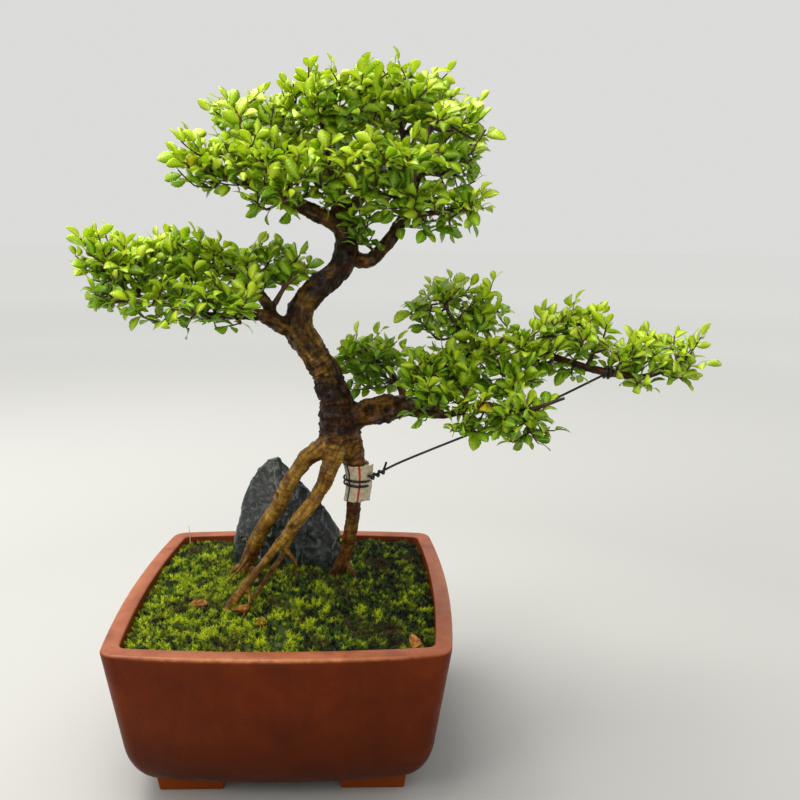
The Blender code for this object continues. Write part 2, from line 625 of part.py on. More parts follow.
def guy_path():
    """Two turns round the sleeve, a straight run, and two turns round the limb."""
    tall = TREE_HEIGHT / DRAWN_HEIGHT
    path = []
    steps = GUY_TURNS * COIL_STEPS
    for step in range(steps + 1):
        angle = -2 * pi * step / COIL_STEPS - 0.6
        z = SLEEVE_MIDDLE - GUY_PITCH / MM / 2 + GUY_PITCH / MM * step / COIL_STEPS
        x, y, r = right_root_at(z)
        reach = r * tall + SLEEVE_SLACK + SLEEVE_WALL + GAP + GUY_WIRE / 2
        reach /= cos(pi / COIL_STEPS) * cos(pi / SLEEVE_SIDES)
        path.append(grown(x, y, z) + Vector((reach * cos(angle), reach * sin(angle), 0)))
    run = [list(grown(*knot)) for knot in GUY_RUN]
    (x, y, z, r), along = limb_at(LIMBS["right"], GUY_LIMB_MIDDLE)
    along = Vector((along.x, along.y, along.z)).normalized()
    side = along.cross(Vector((0, 0, 1))).normalized()
    up = side.cross(along)
    coil = []
    for step in range(steps + 1):
        angle = -pi * 0.75 + 2 * pi * step / COIL_STEPS
        shift = GUY_PITCH * (step / COIL_STEPS - GUY_TURNS / 2)
        reach = (r * tall + GAP * 2 + GUY_WIRE / 2) / cos(pi / COIL_STEPS) / cos(pi / 8)
        coil.append(list(grown(x, y, z) + along * shift + side * (reach * cos(angle)) + up * (reach * sin(angle))))
    line = smooth_path([list(path[-1])] + run + [coil[0]], 2)
    return path[:-1] + [Vector(p) for p in line] + [Vector(p) for p in coil[1:]]


# ---- leaves -------------------------------------------------------------------------------------


def pad_mesh(name):
    """A lumpy ellipsoid, kept on its own side of the plane between itself and each other pad."""
    wide, tall = TREE_SPREAD / DRAWN_SPREAD, TREE_HEIGHT / DRAWN_HEIGHT
    centres = {label: grown(*centre) for label, (centre, _) in PADS.items()}
    sizes = {label: Vector((r[0] * wide, r[1] * wide, r[2] * tall)) for label, (_, r) in PADS.items()}
    centre, size = centres[name], sizes[name]

    def reach(radii, direction):
        return 1 / sqrt(sum((d / r) ** 2 for d, r in zip(direction, radii)))

    planes = []
    for other, there in centres.items():
        if other != name:
            line = there - centre
            far = line.length
            line.normalize()
            mine, theirs = reach(size, line), reach(sizes[other], line)
            planes.append((line, far * mine / (mine + theirs) - LEAF_GAP / 2))
    seed = Vector((len(name) * 1.7, sum(map(ord, name)) * 0.13, 0.0))
    shape = bmesh.new()
    bmesh.ops.create_uvsphere(shape, u_segments=PAD_SEGMENTS, v_segments=PAD_RINGS, radius=1.0)
    for vert in shape.verts:
        direction = vert.co.normalized()
        length = reach(size, direction)
        hollow = 0.5 + 0.5 * noise.noise(direction * 2.3 + seed)
        length *= 1 - PAD_ROUGHNESS * hollow
        for normal, limit in planes:
            facing = direction.dot(normal)
            if facing > 0:
                length = min(length, limit / facing)
        vert.co = centre + direction * length
    mesh = bpy.data.meshes.new(name)
    shape.to_mesh(mesh)
    shape.free()
    return mesh


def make_foliage(wood_space, wire_space):
    for name in PADS:
        pad = add_object("foliage_" + name, pad_mesh(name), "leaves")
        combine(pad, wood_space, "DIFFERENCE")
        combine(pad, wire_space, "DIFFERENCE")
        keep_largest_piece(pad)


def make_dry_leaves():
    """Fallen leaves, each a thin curled blade lying on the moss."""
    for number, (place, turn, length) in enumerate(DRY_LEAVES, 1):
        middle = Vector((place[0] * OPENING_HALF, place[1] * OPENING_HALF, 0))
        rows = []
        for step in range(5):
            t = step / 4
            half = sin(pi * (0.06 + 0.88 * t)) * length * 0.27
            for side in (-1, 0, 1):
                lift = 0.22 * length * (2 * t - 1) ** 2 + 0.12 * length * side * side
                rows.append(Vector(((t - 0.5) * length, side * half, lift)) * MM)
        around = Matrix.Rotation(turn * pi / 180, 3, "Z")
        rows = [around @ p + middle for p in rows]
        base = max(moss_height(p.x, p.y) - p.z for p in rows) + 0.9 * MM
        lower = [p + Vector((0, 0, base)) for p in rows]
        upper = [p + Vector((0, 0, LEAF_THICKNESS)) for p in lower]
        rings = [lower[3 * i:3 * i + 3] + list(reversed(upper[3 * i:3 * i + 3])) for i in range(5)]
        mesh = mesh_from("dry_leaf", *loft(rings))
        shape = bmesh.new()
        shape.from_mesh(mesh)
        bmesh.ops.recalc_face_normals(shape, faces=shape.faces)
        shape.to_mesh(mesh)
        shape.free()
        add_object("dry_leaf_%d" % number, mesh, "dry_leaf")


def make_grass_blade():
    """A dry blade of grass that stands up out of the moss and leans a little."""
    (share_x, share_y), length = GRASS_BLADE
    x, y = share_x * OPENING_HALF, share_y * OPENING_HALF
    foot = Vector((x, y, moss_height(x, y) + 2 * MM))
    path = [foot + Vector((-0.06 * t * t, 0.03 * t, t)) * length * MM for t in (0, 0.25, 0.5, 0.75, 1)]
    radii = [radius * MM for radius in (0.7, 0.6, 0.5, 0.4, 0.3)]
    add_object("grass_blade", tube_mesh("grass_blade", path, radii, 6), "dry_grass")


def centre_everything():
    """Slide every piece sideways until the whole stands over the origin."""
    pieces = [o for o in bpy.data.objects if o.type == "MESH" and not o.hide_render]
    points = [v.co for o in pieces for v in o.data.vertices]
    shift = Vector([-(max(p[i] for p in points) + min(p[i] for p in points)) / 2 for i in (0, 1)] + [0.0])
    for piece in pieces:
        piece.data.transform(Matrix.Translation(shift))


def main():
    clear_scene()
    make_pot()
    make_drain_mesh()
    make_mesh_clip()
    soil = make_soil()
    moss = make_moss()
    stone = add_object("stone", stone_mesh("stone"), "slate")
    stone_space = hidden_tool("stone_space", stone_mesh("stone_space", GAP * 1.5))
    add_object("tree", tree_mesh("tree"), "bark")
    wood_space = hidden_tool("wood_space", tree_mesh("wood_space", GAP * 1.5))
    combine(stone, wood_space, "DIFFERENCE")
    for bed in (soil, moss):
        combine(bed, stone_space, "DIFFERENCE")
        combine(bed, wood_space, "DIFFERENCE")
        keep_largest_piece(bed)
    sleeve = make_sleeve()
    combine(sleeve, wood_space, "DIFFERENCE")
    keep_largest_piece(sleeve)
    route = guy_path()
    add_object("guy_wire", tube_mesh("guy_wire", route, [GUY_WIRE / 2] * len(route), 8), "black_wire")
    wire_space = hidden_tool("wire_space",
                             tube_mesh("wire_space", route, [GUY_WIRE / 2 + LEAF_GAP / 2] * len(route), 6))
    make_foliage(wood_space, wire_space)
    make_dry_leaves()
    make_grass_blade()
    centre_everything()


main()
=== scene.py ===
"""Finished look of a potted bonsai: bare roots over a standing stone, moss, clay pot, root wrap and guy wire.

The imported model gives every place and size. The tree, the stone and the bed are drawn in millimetres from the
pot's axis and the moss's crown, as in the part's own source, and put in place by the pot's box.
"""
from __future__ import annotations

import json
import logging
import math
from dataclasses import dataclass, field
from enum import Enum
from functools import partial
from typing import Callable, Iterable, Sequence

import bmesh
import bpy
import numpy as np
from mathutils import Matrix, Vector, noise

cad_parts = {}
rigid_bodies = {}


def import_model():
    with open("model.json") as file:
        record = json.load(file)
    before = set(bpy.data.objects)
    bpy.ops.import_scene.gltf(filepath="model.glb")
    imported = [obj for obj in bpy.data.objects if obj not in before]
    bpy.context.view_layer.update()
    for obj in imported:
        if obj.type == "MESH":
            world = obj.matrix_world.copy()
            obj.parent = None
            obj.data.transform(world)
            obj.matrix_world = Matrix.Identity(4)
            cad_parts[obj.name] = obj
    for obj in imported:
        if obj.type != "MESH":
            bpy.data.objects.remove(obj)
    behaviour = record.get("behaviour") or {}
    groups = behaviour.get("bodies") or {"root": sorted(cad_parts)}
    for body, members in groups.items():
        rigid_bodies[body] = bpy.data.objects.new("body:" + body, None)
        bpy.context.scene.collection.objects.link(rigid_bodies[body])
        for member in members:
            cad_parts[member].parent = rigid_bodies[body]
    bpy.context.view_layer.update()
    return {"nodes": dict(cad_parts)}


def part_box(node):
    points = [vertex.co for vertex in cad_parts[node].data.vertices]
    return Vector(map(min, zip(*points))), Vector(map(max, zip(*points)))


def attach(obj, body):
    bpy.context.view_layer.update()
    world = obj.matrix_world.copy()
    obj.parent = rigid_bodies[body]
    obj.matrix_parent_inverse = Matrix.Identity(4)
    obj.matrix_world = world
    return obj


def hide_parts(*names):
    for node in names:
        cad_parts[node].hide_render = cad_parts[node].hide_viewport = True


LOG = logging.getLogger("bonsai")
MM = 0.001
BODY = "root"
Knot = tuple[float, float, float, float]


# ---- shared tools ---------------------------------------------------------------------------------


def linear(code: str, alpha: float = 1.0) -> tuple[float, float, float, float]:
    """Turn an sRGB hex colour into linear components.

    Args:
        code: six hex digits.
        alpha: the fourth component.

    Returns:
        Linear red, green, blue and alpha.
    """
    parts = [int(code[i:i + 2], 16) / 255 for i in (0, 2, 4)]
    red, green, blue = (c / 12.92 if c <= 0.04045 else ((c + 0.055) / 1.055) ** 2.4 for c in parts)
    return red, green, blue, alpha


def fill(node: bpy.types.Node, values: object) -> None:
    """Give a node's inputs their values and links.

    A value is a number, a vector, a hex colour, an output socket, or a node that stands for its first output.

    Args:
        node: the node.
        values: input names with their values, or the values alone, in the order of the inputs in use.
    """
    if isinstance(values, dict):
        pairs = [(node.inputs[key], value) for key, value in values.items()]
    else:
        used = [socket for socket in node.inputs if socket.enabled]
        pairs = list(zip(used, values if isinstance(values, tuple) else (values,)))
    for socket, value in pairs:
        if isinstance(value, bpy.types.Node):
            value = next(output for output in value.outputs if output.enabled)
        if isinstance(value, bpy.types.NodeSocket):
            node.id_data.links.new(value, socket)
        else:
            is_hex = socket.type == "RGBA" and isinstance(value, str)
            socket.default_value = linear(value) if is_hex else value


def add_node(tree: bpy.types.NodeTree, kind: str, values: object = (),
             stops: Sequence[tuple[float, str | float]] = (), **settings) -> bpy.types.Node:
    """Add a node to a tree, with its settings, its values and its links.

    Args:
        tree: the node tree.
        kind: the node's Blender type.
        values: what its inputs get, as fill takes it.
        stops: places on a colour ramp, each with a hex colour or a grey.
        settings: properties of the node.

    Returns:
        The new node.
    """
    node = tree.nodes.new(kind)
    for key, value in settings.items():
        setattr(node, key, value)
    fill(node, values)
    if stops:
        elements = node.color_ramp.elements
        while len(elements) < len(stops):
            elements.new(0.5)
        for element, (place, colour) in zip(elements, stops):
            element.position = place
            element.color = linear(colour) if isinstance(colour, str) else (colour, colour, colour, 1.0)
    return node


def mesh_object(name: str, points: np.ndarray | Sequence, faces: Sequence,
                smooth: bool = True) -> bpy.types.Object:
    """Make an object at the origin from points and faces.

    Args:
        name: its name.
        points: places in metres.
        faces: point numbers of each face.
        smooth: shade it smooth.

    Returns:
        The object, linked to the scene.
    """
    mesh = bpy.data.meshes.new(name)
    mesh.from_pydata([tuple(map(float, p)) for p in points], [], [tuple(map(int, f)) for f in faces])
    mesh.update()
    made = bpy.data.objects.new(name, mesh)
    bpy.context.scene.collection.objects.link(made)
    if smooth:
        mesh.shade_smooth()
    return made


def evaluated(obj: bpy.types.Object) -> bpy.types.Mesh:
    """The object's mesh with its modifiers applied, as a mesh of its own."""
    bpy.context.view_layer.update()
    return bpy.data.meshes.new_from_object(obj.evaluated_get(bpy.context.evaluated_depsgraph_get()))


def apply_modifiers(obj: bpy.types.Object) -> bpy.types.Object:
    """Replace the object's mesh by its evaluated one and drop its modifiers.

    Args:
        obj: the object.

    Returns:
        The same object.
    """
    mesh = evaluated(obj)
    obj.modifiers.clear()
    old, obj.data = obj.data, mesh
    bpy.data.meshes.remove(old)
    return obj


def mesh_points(mesh: bpy.types.Mesh) -> np.ndarray:
    """The mesh's points as an array.

    Args:
        mesh: the mesh.

    Returns:
        A row of three for each point.
    """
    flat = np.empty(len(mesh.vertices) * 3, np.float32)
    mesh.vertices.foreach_get("co", flat)
    return flat.reshape(-1, 3).astype(float)


def mesh_normals(mesh: bpy.types.Mesh) -> np.ndarray:
    """The mesh's point normals as an array.

    Args:
        mesh: the mesh.

    Returns:
        A row of three for each point.
    """
    flat = np.empty(len(mesh.vertices) * 3, np.float32)
    mesh.vertices.foreach_get("normal", flat)
    return flat.reshape(-1, 3).astype(float)


def set_points(mesh: bpy.types.Mesh, points: np.ndarray) -> None:
    """Move the mesh's points."""
    mesh.vertices.foreach_set("co", points.astype(np.float32).ravel())
    mesh.update()


def set_attribute(mesh: bpy.types.Mesh, name: str, values: np.ndarray, kind: str = "FLOAT") -> None:
    """Store one value or vector for each point.

    Args:
        mesh: the mesh.
        name: the attribute's name.
        values: a value or a vector for each point.
        kind: its Blender type.
    """
    attribute = mesh.attributes.new(name, kind, "POINT")
    key = "vector" if kind == "FLOAT_VECTOR" else "value"
    attribute.data.foreach_set(key, np.asarray(values, np.int32 if kind == "INT" else np.float32).ravel())


def face_outwards(obj: bpy.types.Object) -> None:
    """Merge doubles and turn a closed shape's faces outwards.

    Args:
        obj: the object whose mesh is changed.
    """
    shape = bmesh.new()
    shape.from_mesh(obj.data)
    bmesh.ops.remove_doubles(shape, verts=shape.verts, dist=0.01 * MM)
    bmesh.ops.recalc_face_normals(shape, faces=shape.faces)
    shape.to_mesh(obj.data)
    shape.free()


def join_meshes(name: str, parts: Sequence[tuple[np.ndarray, list]]) -> bpy.types.Object:
    """One object from several runs of points and faces.

    Args:
        name: the object's name.
        parts: points and faces of each part.

    Returns:
        The object.
    """
    points, faces, base = [], [], 0
    for part_points, part_faces in parts:
        points.extend(part_points)
        faces.extend([tuple(i + base for i in f) for f in part_faces])
        base += len(part_points)
    return mesh_object(name, points, faces)


def loft(rings: Sequence[np.ndarray], cap: bool = True) -> tuple[np.ndarray, list]:
    """Points and faces through rings of equal length.

    Args:
        rings: the rings, each an array of points.
        cap: close the two ends; otherwise the last ring joins the first.

    Returns:
        The points and the faces.
    """
    count, rows = len(rings[0]), len(rings)
    points = np.vstack(rings)
    faces = []
    for row in range(rows - 1 if cap else rows):
        low, high = row * count, ((row + 1) % rows) * count
        for i in range(count):
            j = (i + 1) % count
            faces.append((low + i, low + j, high + j, high + i))
    if cap:
        faces.append(tuple(reversed(range(count))))
        faces.append(tuple(range((rows - 1) * count, rows * count)))
    return points, faces


def smooth_path(knots: Sequence[Sequence[float]], step: float) -> np.ndarray:
    """Catmull-Rom points through knots of any width.

    Args:
        knots: rows whose first three numbers are a place.
        step: distance between points, in the knots' unit.

    Returns:
        An array with a row for each point.
    """
    rows = np.array(knots, float)
    ends = np.vstack([2 * rows[0] - rows[1], rows, 2 * rows[-1] - rows[-2]])
    path = []
    for a, b, c, d in zip(ends, ends[1:], ends[2:], ends[3:]):
        count = max(1, int(round(np.linalg.norm((c - b)[:3]) / step)))
        for t in np.arange(count) / count:
            path.append(0.5 * (2 * b + (c - a) * t + (2 * a - 5 * b + 4 * c - d) * t ** 2
                               + (3 * b - a - 3 * c + d) * t ** 3))
    path.append(rows[-1])
    return np.array(path)


def frames_along(path: np.ndarray) -> tuple[np.ndarray, np.ndarray, np.ndarray]:
    """Tangents and two side directions that turn as little as they can along a path.

    Args:
        path: points along the path.

    Returns:
        The tangents and the two side directions, a row for each point.
    """
    tangents = np.gradient(path, axis=0)
    tangents /= np.linalg.norm(tangents, axis=1, keepdims=True) + 1e-12
    side = np.cross(tangents[0], (0.0, 1.0, 0.0))
    if np.linalg.norm(side) < 0.1:
        side = np.cross(tangents[0], (1.0, 0.0, 0.0))
    sides = []
    for tangent in tangents:
        side = side - tangent * side.dot(tangent)
        side /= np.linalg.norm(side)
        sides.append(side)
    sides = np.array(sides)
    return tangents, sides, np.cross(tangents, sides)


def tube(path: np.ndarray, radii: np.ndarray | float, sides: int,
         round_ends: bool = True) -> tuple[np.ndarray, list]:
    """Points and faces of a round bar along a path.

    Args:
        path: the points along the middle.
        radii: one radius, or one for each point.
        sides: how many points go round.
        round_ends: draw each end in to a dome.

    Returns:
        The points and the faces.
    """
    radii = np.broadcast_to(np.asarray(radii, float), (len(path),)).copy()
    tangents, across, over = frames_along(path)
    turn = np.linspace(0, 2 * math.pi, sides, endpoint=False)
    wheel = [np.outer(np.cos(turn), a) + np.outer(np.sin(turn), o) for a, o in zip(across, over)]
    rings = [p + w * r for p, w, r in zip(path, wheel, radii)]
    if round_ends:
        rings[:0] = [path[0] - tangents[0] * radii[0] * sin + wheel[0] * radii[0] * cos
                     for sin, cos in ((0.98, 0.2), (0.75, 0.66))]
        rings += [path[-1] + tangents[-1] * radii[-1] * sin + wheel[-1] * radii[-1] * cos
                  for sin, cos in ((0.75, 0.66), (0.98, 0.2))]
    return loft(rings)


def spread(mesh: bpy.types.Mesh, values: np.ndarray, rounds: int) -> np.ndarray:
    """Smooth values over a mesh by averaging each point with its neighbours, round after round.

    Args:
        mesh: the mesh.
        values: a row for each point.
        rounds: how many times to average.

    Returns:
        The smoothed rows.
    """
    pairs = np.empty(len(mesh.edges) * 2, np.int32)
    mesh.edges.foreach_get("vertices", pairs)
    a, b = pairs.reshape(-1, 2).T
    count = np.bincount(a, minlength=len(values)) + np.bincount(b, minlength=len(values)) + 1
    for _ in range(rounds):
        total = values.copy()
        for column in range(values.shape[1]):
            total[:, column] += np.bincount(a, values[b, column], len(values))
            total[:, column] += np.bincount(b, values[a, column], len(values))
        values = total / count[:, None]
    return values


def noise_at(points: np.ndarray, scale: float, seed: float = 0.0) -> np.ndarray:
    """Smooth noise from -1 to 1 at each point; the scale is the size of its lumps."""
    shift = Vector((seed * 7.31, seed * 3.17, seed * 5.73))
    return np.array([noise.noise(Vector(p) / scale + shift) for p in points])


def faces_at(points: np.ndarray, scale: float, seed: float = 0.0) -> np.ndarray:
    """Height of a surface broken into flat tilted faces of about one size, near -1 to 1 at each point.

    Args:
        points: places.
        scale: size of a face, in the places' unit.
        seed: picks another pattern.

    Returns:
        A height for each point.
    """
    noise.seed_set(1)  # noise_vector starts from the clock otherwise
    shift = Vector((seed * 5.13, seed * 2.71, seed * 8.37))
    heights = []
    for point in points:
        where = Vector(point) / scale + shift
        centre = noise.voronoi(where)[1][0]
        heights.append((where - centre).dot(noise.noise_vector(centre * 3.7))
                       + 0.3 * noise.noise(centre * 5.3))
    return np.array(heights)


def smoothstep(low: float, high: float, values: np.ndarray) -> np.ndarray:
    """0 below low, 1 above high and smooth between."""
    t = np.clip((values - low) / (high - low), 0, 1)
    return t * t * (3 - 2 * t)


# ---- the site ---------------------------------------------------------------------------------------


@dataclass(frozen=True)
class Site:
    """Where the drawing's zero lies: on the pot's axis, at the crown of the moss."""

    axis_x: float
    axis_y: float
    half: float
    rim: float
    crown: float

    @classmethod
    def from_frame(cls) -> Site:
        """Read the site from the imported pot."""
        low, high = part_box("pot")
        middle = (low + high) / 2
        return cls(middle.x, middle.y, (high.x - low.x) / 2, high.z, high.z + PotSizes.CROWN_OVER_RIM.value)

    def place(self, points: np.ndarray | Sequence) -> np.ndarray:
        """Drawn millimetres to metres in the frame."""
        return np.asarray(points, float)[..., :3] * MM + (self.axis_x, self.axis_y, self.crown)


class PotSizes(Enum):
    """Sizes of the pot that its box doesn't give, in metres."""

    CROWN_OVER_RIM = 3 * MM
    FOOT_HEIGHT = 14 * MM
    FOOT_LENGTH = 56 * MM
    FOOT_DEPTH = 50 * MM
    FOOT_SETBACK = 6 * MM
    FOOT_DRAFT = 2.5 * MM
    FOOT_ROOTED = 5 * MM
    WALL = 14 * MM
    FLOOR = 12 * MM
    SIDE_BOW = 7 * MM
    CORNER_RADIUS = 14 * MM
    INNER_BOW = 6 * MM
    INNER_CORNER = 7 * MM
    HEEL_WIDTH = 17 * MM
    HEEL_HEIGHT = 35 * MM
    LIP = 2.5 * MM
    DRAIN_RADIUS = 14 * MM
    MOSS_DROP = 9 * MM
    MOSS_DOME = 12 * MM


TAPER = 0.13


def outer_half(site: Site, z: float) -> float:
    """Half width of the pot's outside at a height.

    Args:
        site: the site.
        z: the height.

    Returns:
        The half width in metres.
    """
    foot, heel = PotSizes.FOOT_HEIGHT.value, PotSizes.HEEL_HEIGHT.value
    drop = min(1.0, max(0.0, (foot + heel - z) / heel))
    return site.half - TAPER * (site.rim - z) - PotSizes.HEEL_WIDTH.value * (1 - math.sqrt(1 - drop * drop))


def bowed_square(half: float, bow: float, corner: float, side_steps: int = 36,
                 corner_steps: int = 9) -> np.ndarray:
    """A square with bowed sides and round corners, seen from above.

    Args:
        half: half width at the middle of a side.
        bow: how far a side bulges past a straight line.
        corner: corner radius.
        side_steps: points along a side.
        corner_steps: points round a corner.

    Returns:
        Points in the plane, anticlockwise.
    """
    core = half - corner
    reach = core - bow
    turn = math.atan2(2 * bow, reach)
    t = np.linspace(-1, 1, side_steps + 1)
    lean = np.arctan2(2 * bow * t, reach)
    side = np.c_[core - bow * t * t + corner * np.cos(lean), t * reach + corner * np.sin(lean)]
    angle = turn + (math.pi / 2 - 2 * turn) * np.arange(1, corner_steps) / corner_steps
    round_part = np.c_[reach + corner * np.cos(angle), reach + corner * np.sin(angle)]
    quarter = np.vstack([side, round_part])
    return np.vstack([quarter @ np.array([[math.cos(a), math.sin(a)], [-math.sin(a), math.cos(a)]])
                      for a in (0, math.pi / 2, math.pi, 1.5 * math.pi)])


def inner_outline(site: Site, z: float, grow: float = 0.0) -> np.ndarray:
    """The pot's inner wall at a height."""
    return bowed_square(outer_half(site, z) - PotSizes.WALL.value + grow, PotSizes.INNER_BOW.value,
                        PotSizes.INNER_CORNER.value + grow)


# ---- finishes ---------------------------------------------------------------------------------------


MATH, NOISE, RAMP, MIX = "ShaderNodeMath", "ShaderNodeTexNoise", "ShaderNodeValToRGB", "ShaderNodeMix"
BUMP, SPLIT, MAPPING = "ShaderNodeBump", "ShaderNodeSeparateXYZ", "ShaderNodeMapping"
READ = "ShaderNodeAttribute"


@dataclass(frozen=True)
class Finish:
    """A finish that a material is made from."""

    name: str
    ior: float = 1.45
    roughness: float = 0.5
    metallic: float = 0.0

    def start(self) -> tuple[bpy.types.Material, Callable[..., bpy.types.Node], bpy.types.Node,
                             bpy.types.NodeSocket]:
        """A new material, the function that adds its nodes, its shader and its Object coordinates."""
        made = bpy.data.materials.new(self.name)
        made.use_nodes = True
        shader = made.node_tree.nodes["Principled BSDF"]
        fill(shader, {"IOR": self.ior, "Roughness": self.roughness, "Metallic": self.metallic})
        add = partial(add_node, made.node_tree)
        return made, add, shader, add("ShaderNodeTexCoord").outputs["Object"]

    def material(self) -> bpy.types.Material:
        """Build the material."""
        raise NotImplementedError


def scale_for(size_mm: float) -> float:
    """The scale at which a pattern on metre coordinates has lumps of a size in millimetres."""
    return 1 / (size_mm * MM)


@dataclass(frozen=True)
class StonewareFinish(Finish):
    """Unglazed red-brown stoneware, slip-cast and burnished: a soft sheen, faint pits and water streaks."""

    name: str = "unglazed_stoneware"
    ior: float = 1.5
    roughness: float = 0.42
    dark: str = "501B02"
    body: str = "5E2000"
    warm: str = "6E2B03"
    # painted shade, darker towards the bottom of the walls
    low_shade: str = "3C1400"
    # painted light on the feet
    foot_light: str = "863A0C"
    # the rim's top: chalky dust, painted lighter as if lit from above
    lit_chalk: str = "924A26"
    lit_chalk_dark: str = "78361C"
    lit_chalk_light: str = "A35C3C"
    # pale rubbed edge with a painted highlight
    worn: str = "C27A4C"
    # height and waviness of the painted shade's upper edge
    shade_height: float = 140 * MM
    shade_wave: float = 30 * MM

    def material(self) -> bpy.types.Material:
        """Mottled clay, chalky and painted lighter on its upward faces, pale rubbed edges with a painted
        highlight, painted shade towards the bottom and painted light on the feet.
        """
        made, add, shader, where = self.start()
        broad = add(NOISE, (where, scale_for(45), 5, 0.62, 2, 0.3))
        colour = add(RAMP, broad, stops=[(0.28, self.dark), (0.5, self.body), (0.75, self.warm)])
        tall = add(MAPPING, {"Vector": where, "Scale": (1.0, 1.0, 0.12)})
        streak = add(RAMP, add(NOISE, (tall, scale_for(9), 4, 0.6)), stops=[(0.42, 0.0), (0.72, 1.0)])
        faint = add(MATH, (streak, 0.25), operation="MULTIPLY")
        colour = add(MIX, (faint, colour, self.warm), data_type="RGBA")
        speck = add(RAMP, add(NOISE, (where, scale_for(1.6), 2, 0.6)), stops=[(0.62, 0.0), (0.74, 1.0)])
        faint = add(MATH, (speck, 0.4), operation="MULTIPLY")
        colour = add(MIX, (faint, colour, self.dark), data_type="RGBA")
        height = add(SPLIT, where).outputs["Z"]
        # painted shade: the walls are painted darker towards the bottom, up to a wavy edge
        wave = add(MATH, (broad, self.shade_wave), operation="MULTIPLY")
        shade_level = add(MATH, (add(MATH, (height, wave), operation="ADD"), self.shade_height), operation="DIVIDE")
        wet = add(RAMP, shade_level, stops=[(0.09, 0.15), (0.17, 0.95), (0.85, 0.0)])
        colour = add(MIX, (wet, colour, self.low_shade), data_type="RGBA")
        # painted light: the feet are painted lighter against the shadow they stand in
        foot = add(MATH, (height, PotSizes.FOOT_HEIGHT.value), operation="DIVIDE")
        lit_feet = add(RAMP, foot, stops=[(0.9, 0.85), (1.0, 0.0)])
        colour = add(MIX, (lit_feet, colour, self.foot_light), data_type="RGBA")
        # the rim's top: chalky dust and painted light from above
        upward = add(READ, attribute_name="upward").outputs["Fac"]
        chalk_and_top_light = add(RAMP, add(NOISE, (where, scale_for(24), 4, 0.6, 2, 0.4)),
                    stops=[(0.3, self.lit_chalk_dark), (0.5, self.lit_chalk), (0.75, self.lit_chalk_light)])
        colour = add(MIX, (upward, colour, chalk_and_top_light), data_type="RGBA")
        # the lip's outer edge: rubbed wear and a painted highlight line
        edge = add(READ, attribute_name="worn").outputs["Fac"]
        patchy = add(RAMP, add(NOISE, (where, scale_for(6), 3, 0.55)), stops=[(0.3, 0.35), (0.6, 1.0)])
        part = add(MATH, (edge, patchy), operation="MULTIPLY")
        colour = add(MIX, (part, colour, self.worn), data_type="RGBA")
        rough = add(RAMP, add(NOISE, (where, scale_for(12), 4, 0.6)), stops=[(0.3, 0.3), (0.7, 0.5)])
        sheen = add(RAMP, upward, stops=[(0.0, 0.1), (1.0, 0.4)])
        grit = add(MATH, (add(MATH, (add(NOISE, (where, scale_for(0.9), 3, 0.55)), 0.4),
                              operation="MULTIPLY"),
                     add(NOISE, (where, scale_for(4.5), 3, 0.55))), operation="ADD")
        pimples = add(RAMP, add(NOISE, (where, scale_for(3.2), 1, 0.55)), stops=[(0.66, 0.0), (0.76, 1.0)])
        height = add(MATH, (grit, pimples), operation="ADD")
        relief = add(BUMP, {"Height": height, "Distance": 0.35 * MM, "Strength": 0.6})
        fill(shader, {"Base Color": colour, "Roughness": rough, "Specular IOR Level": sheen,
                      "Normal": relief})
        return made


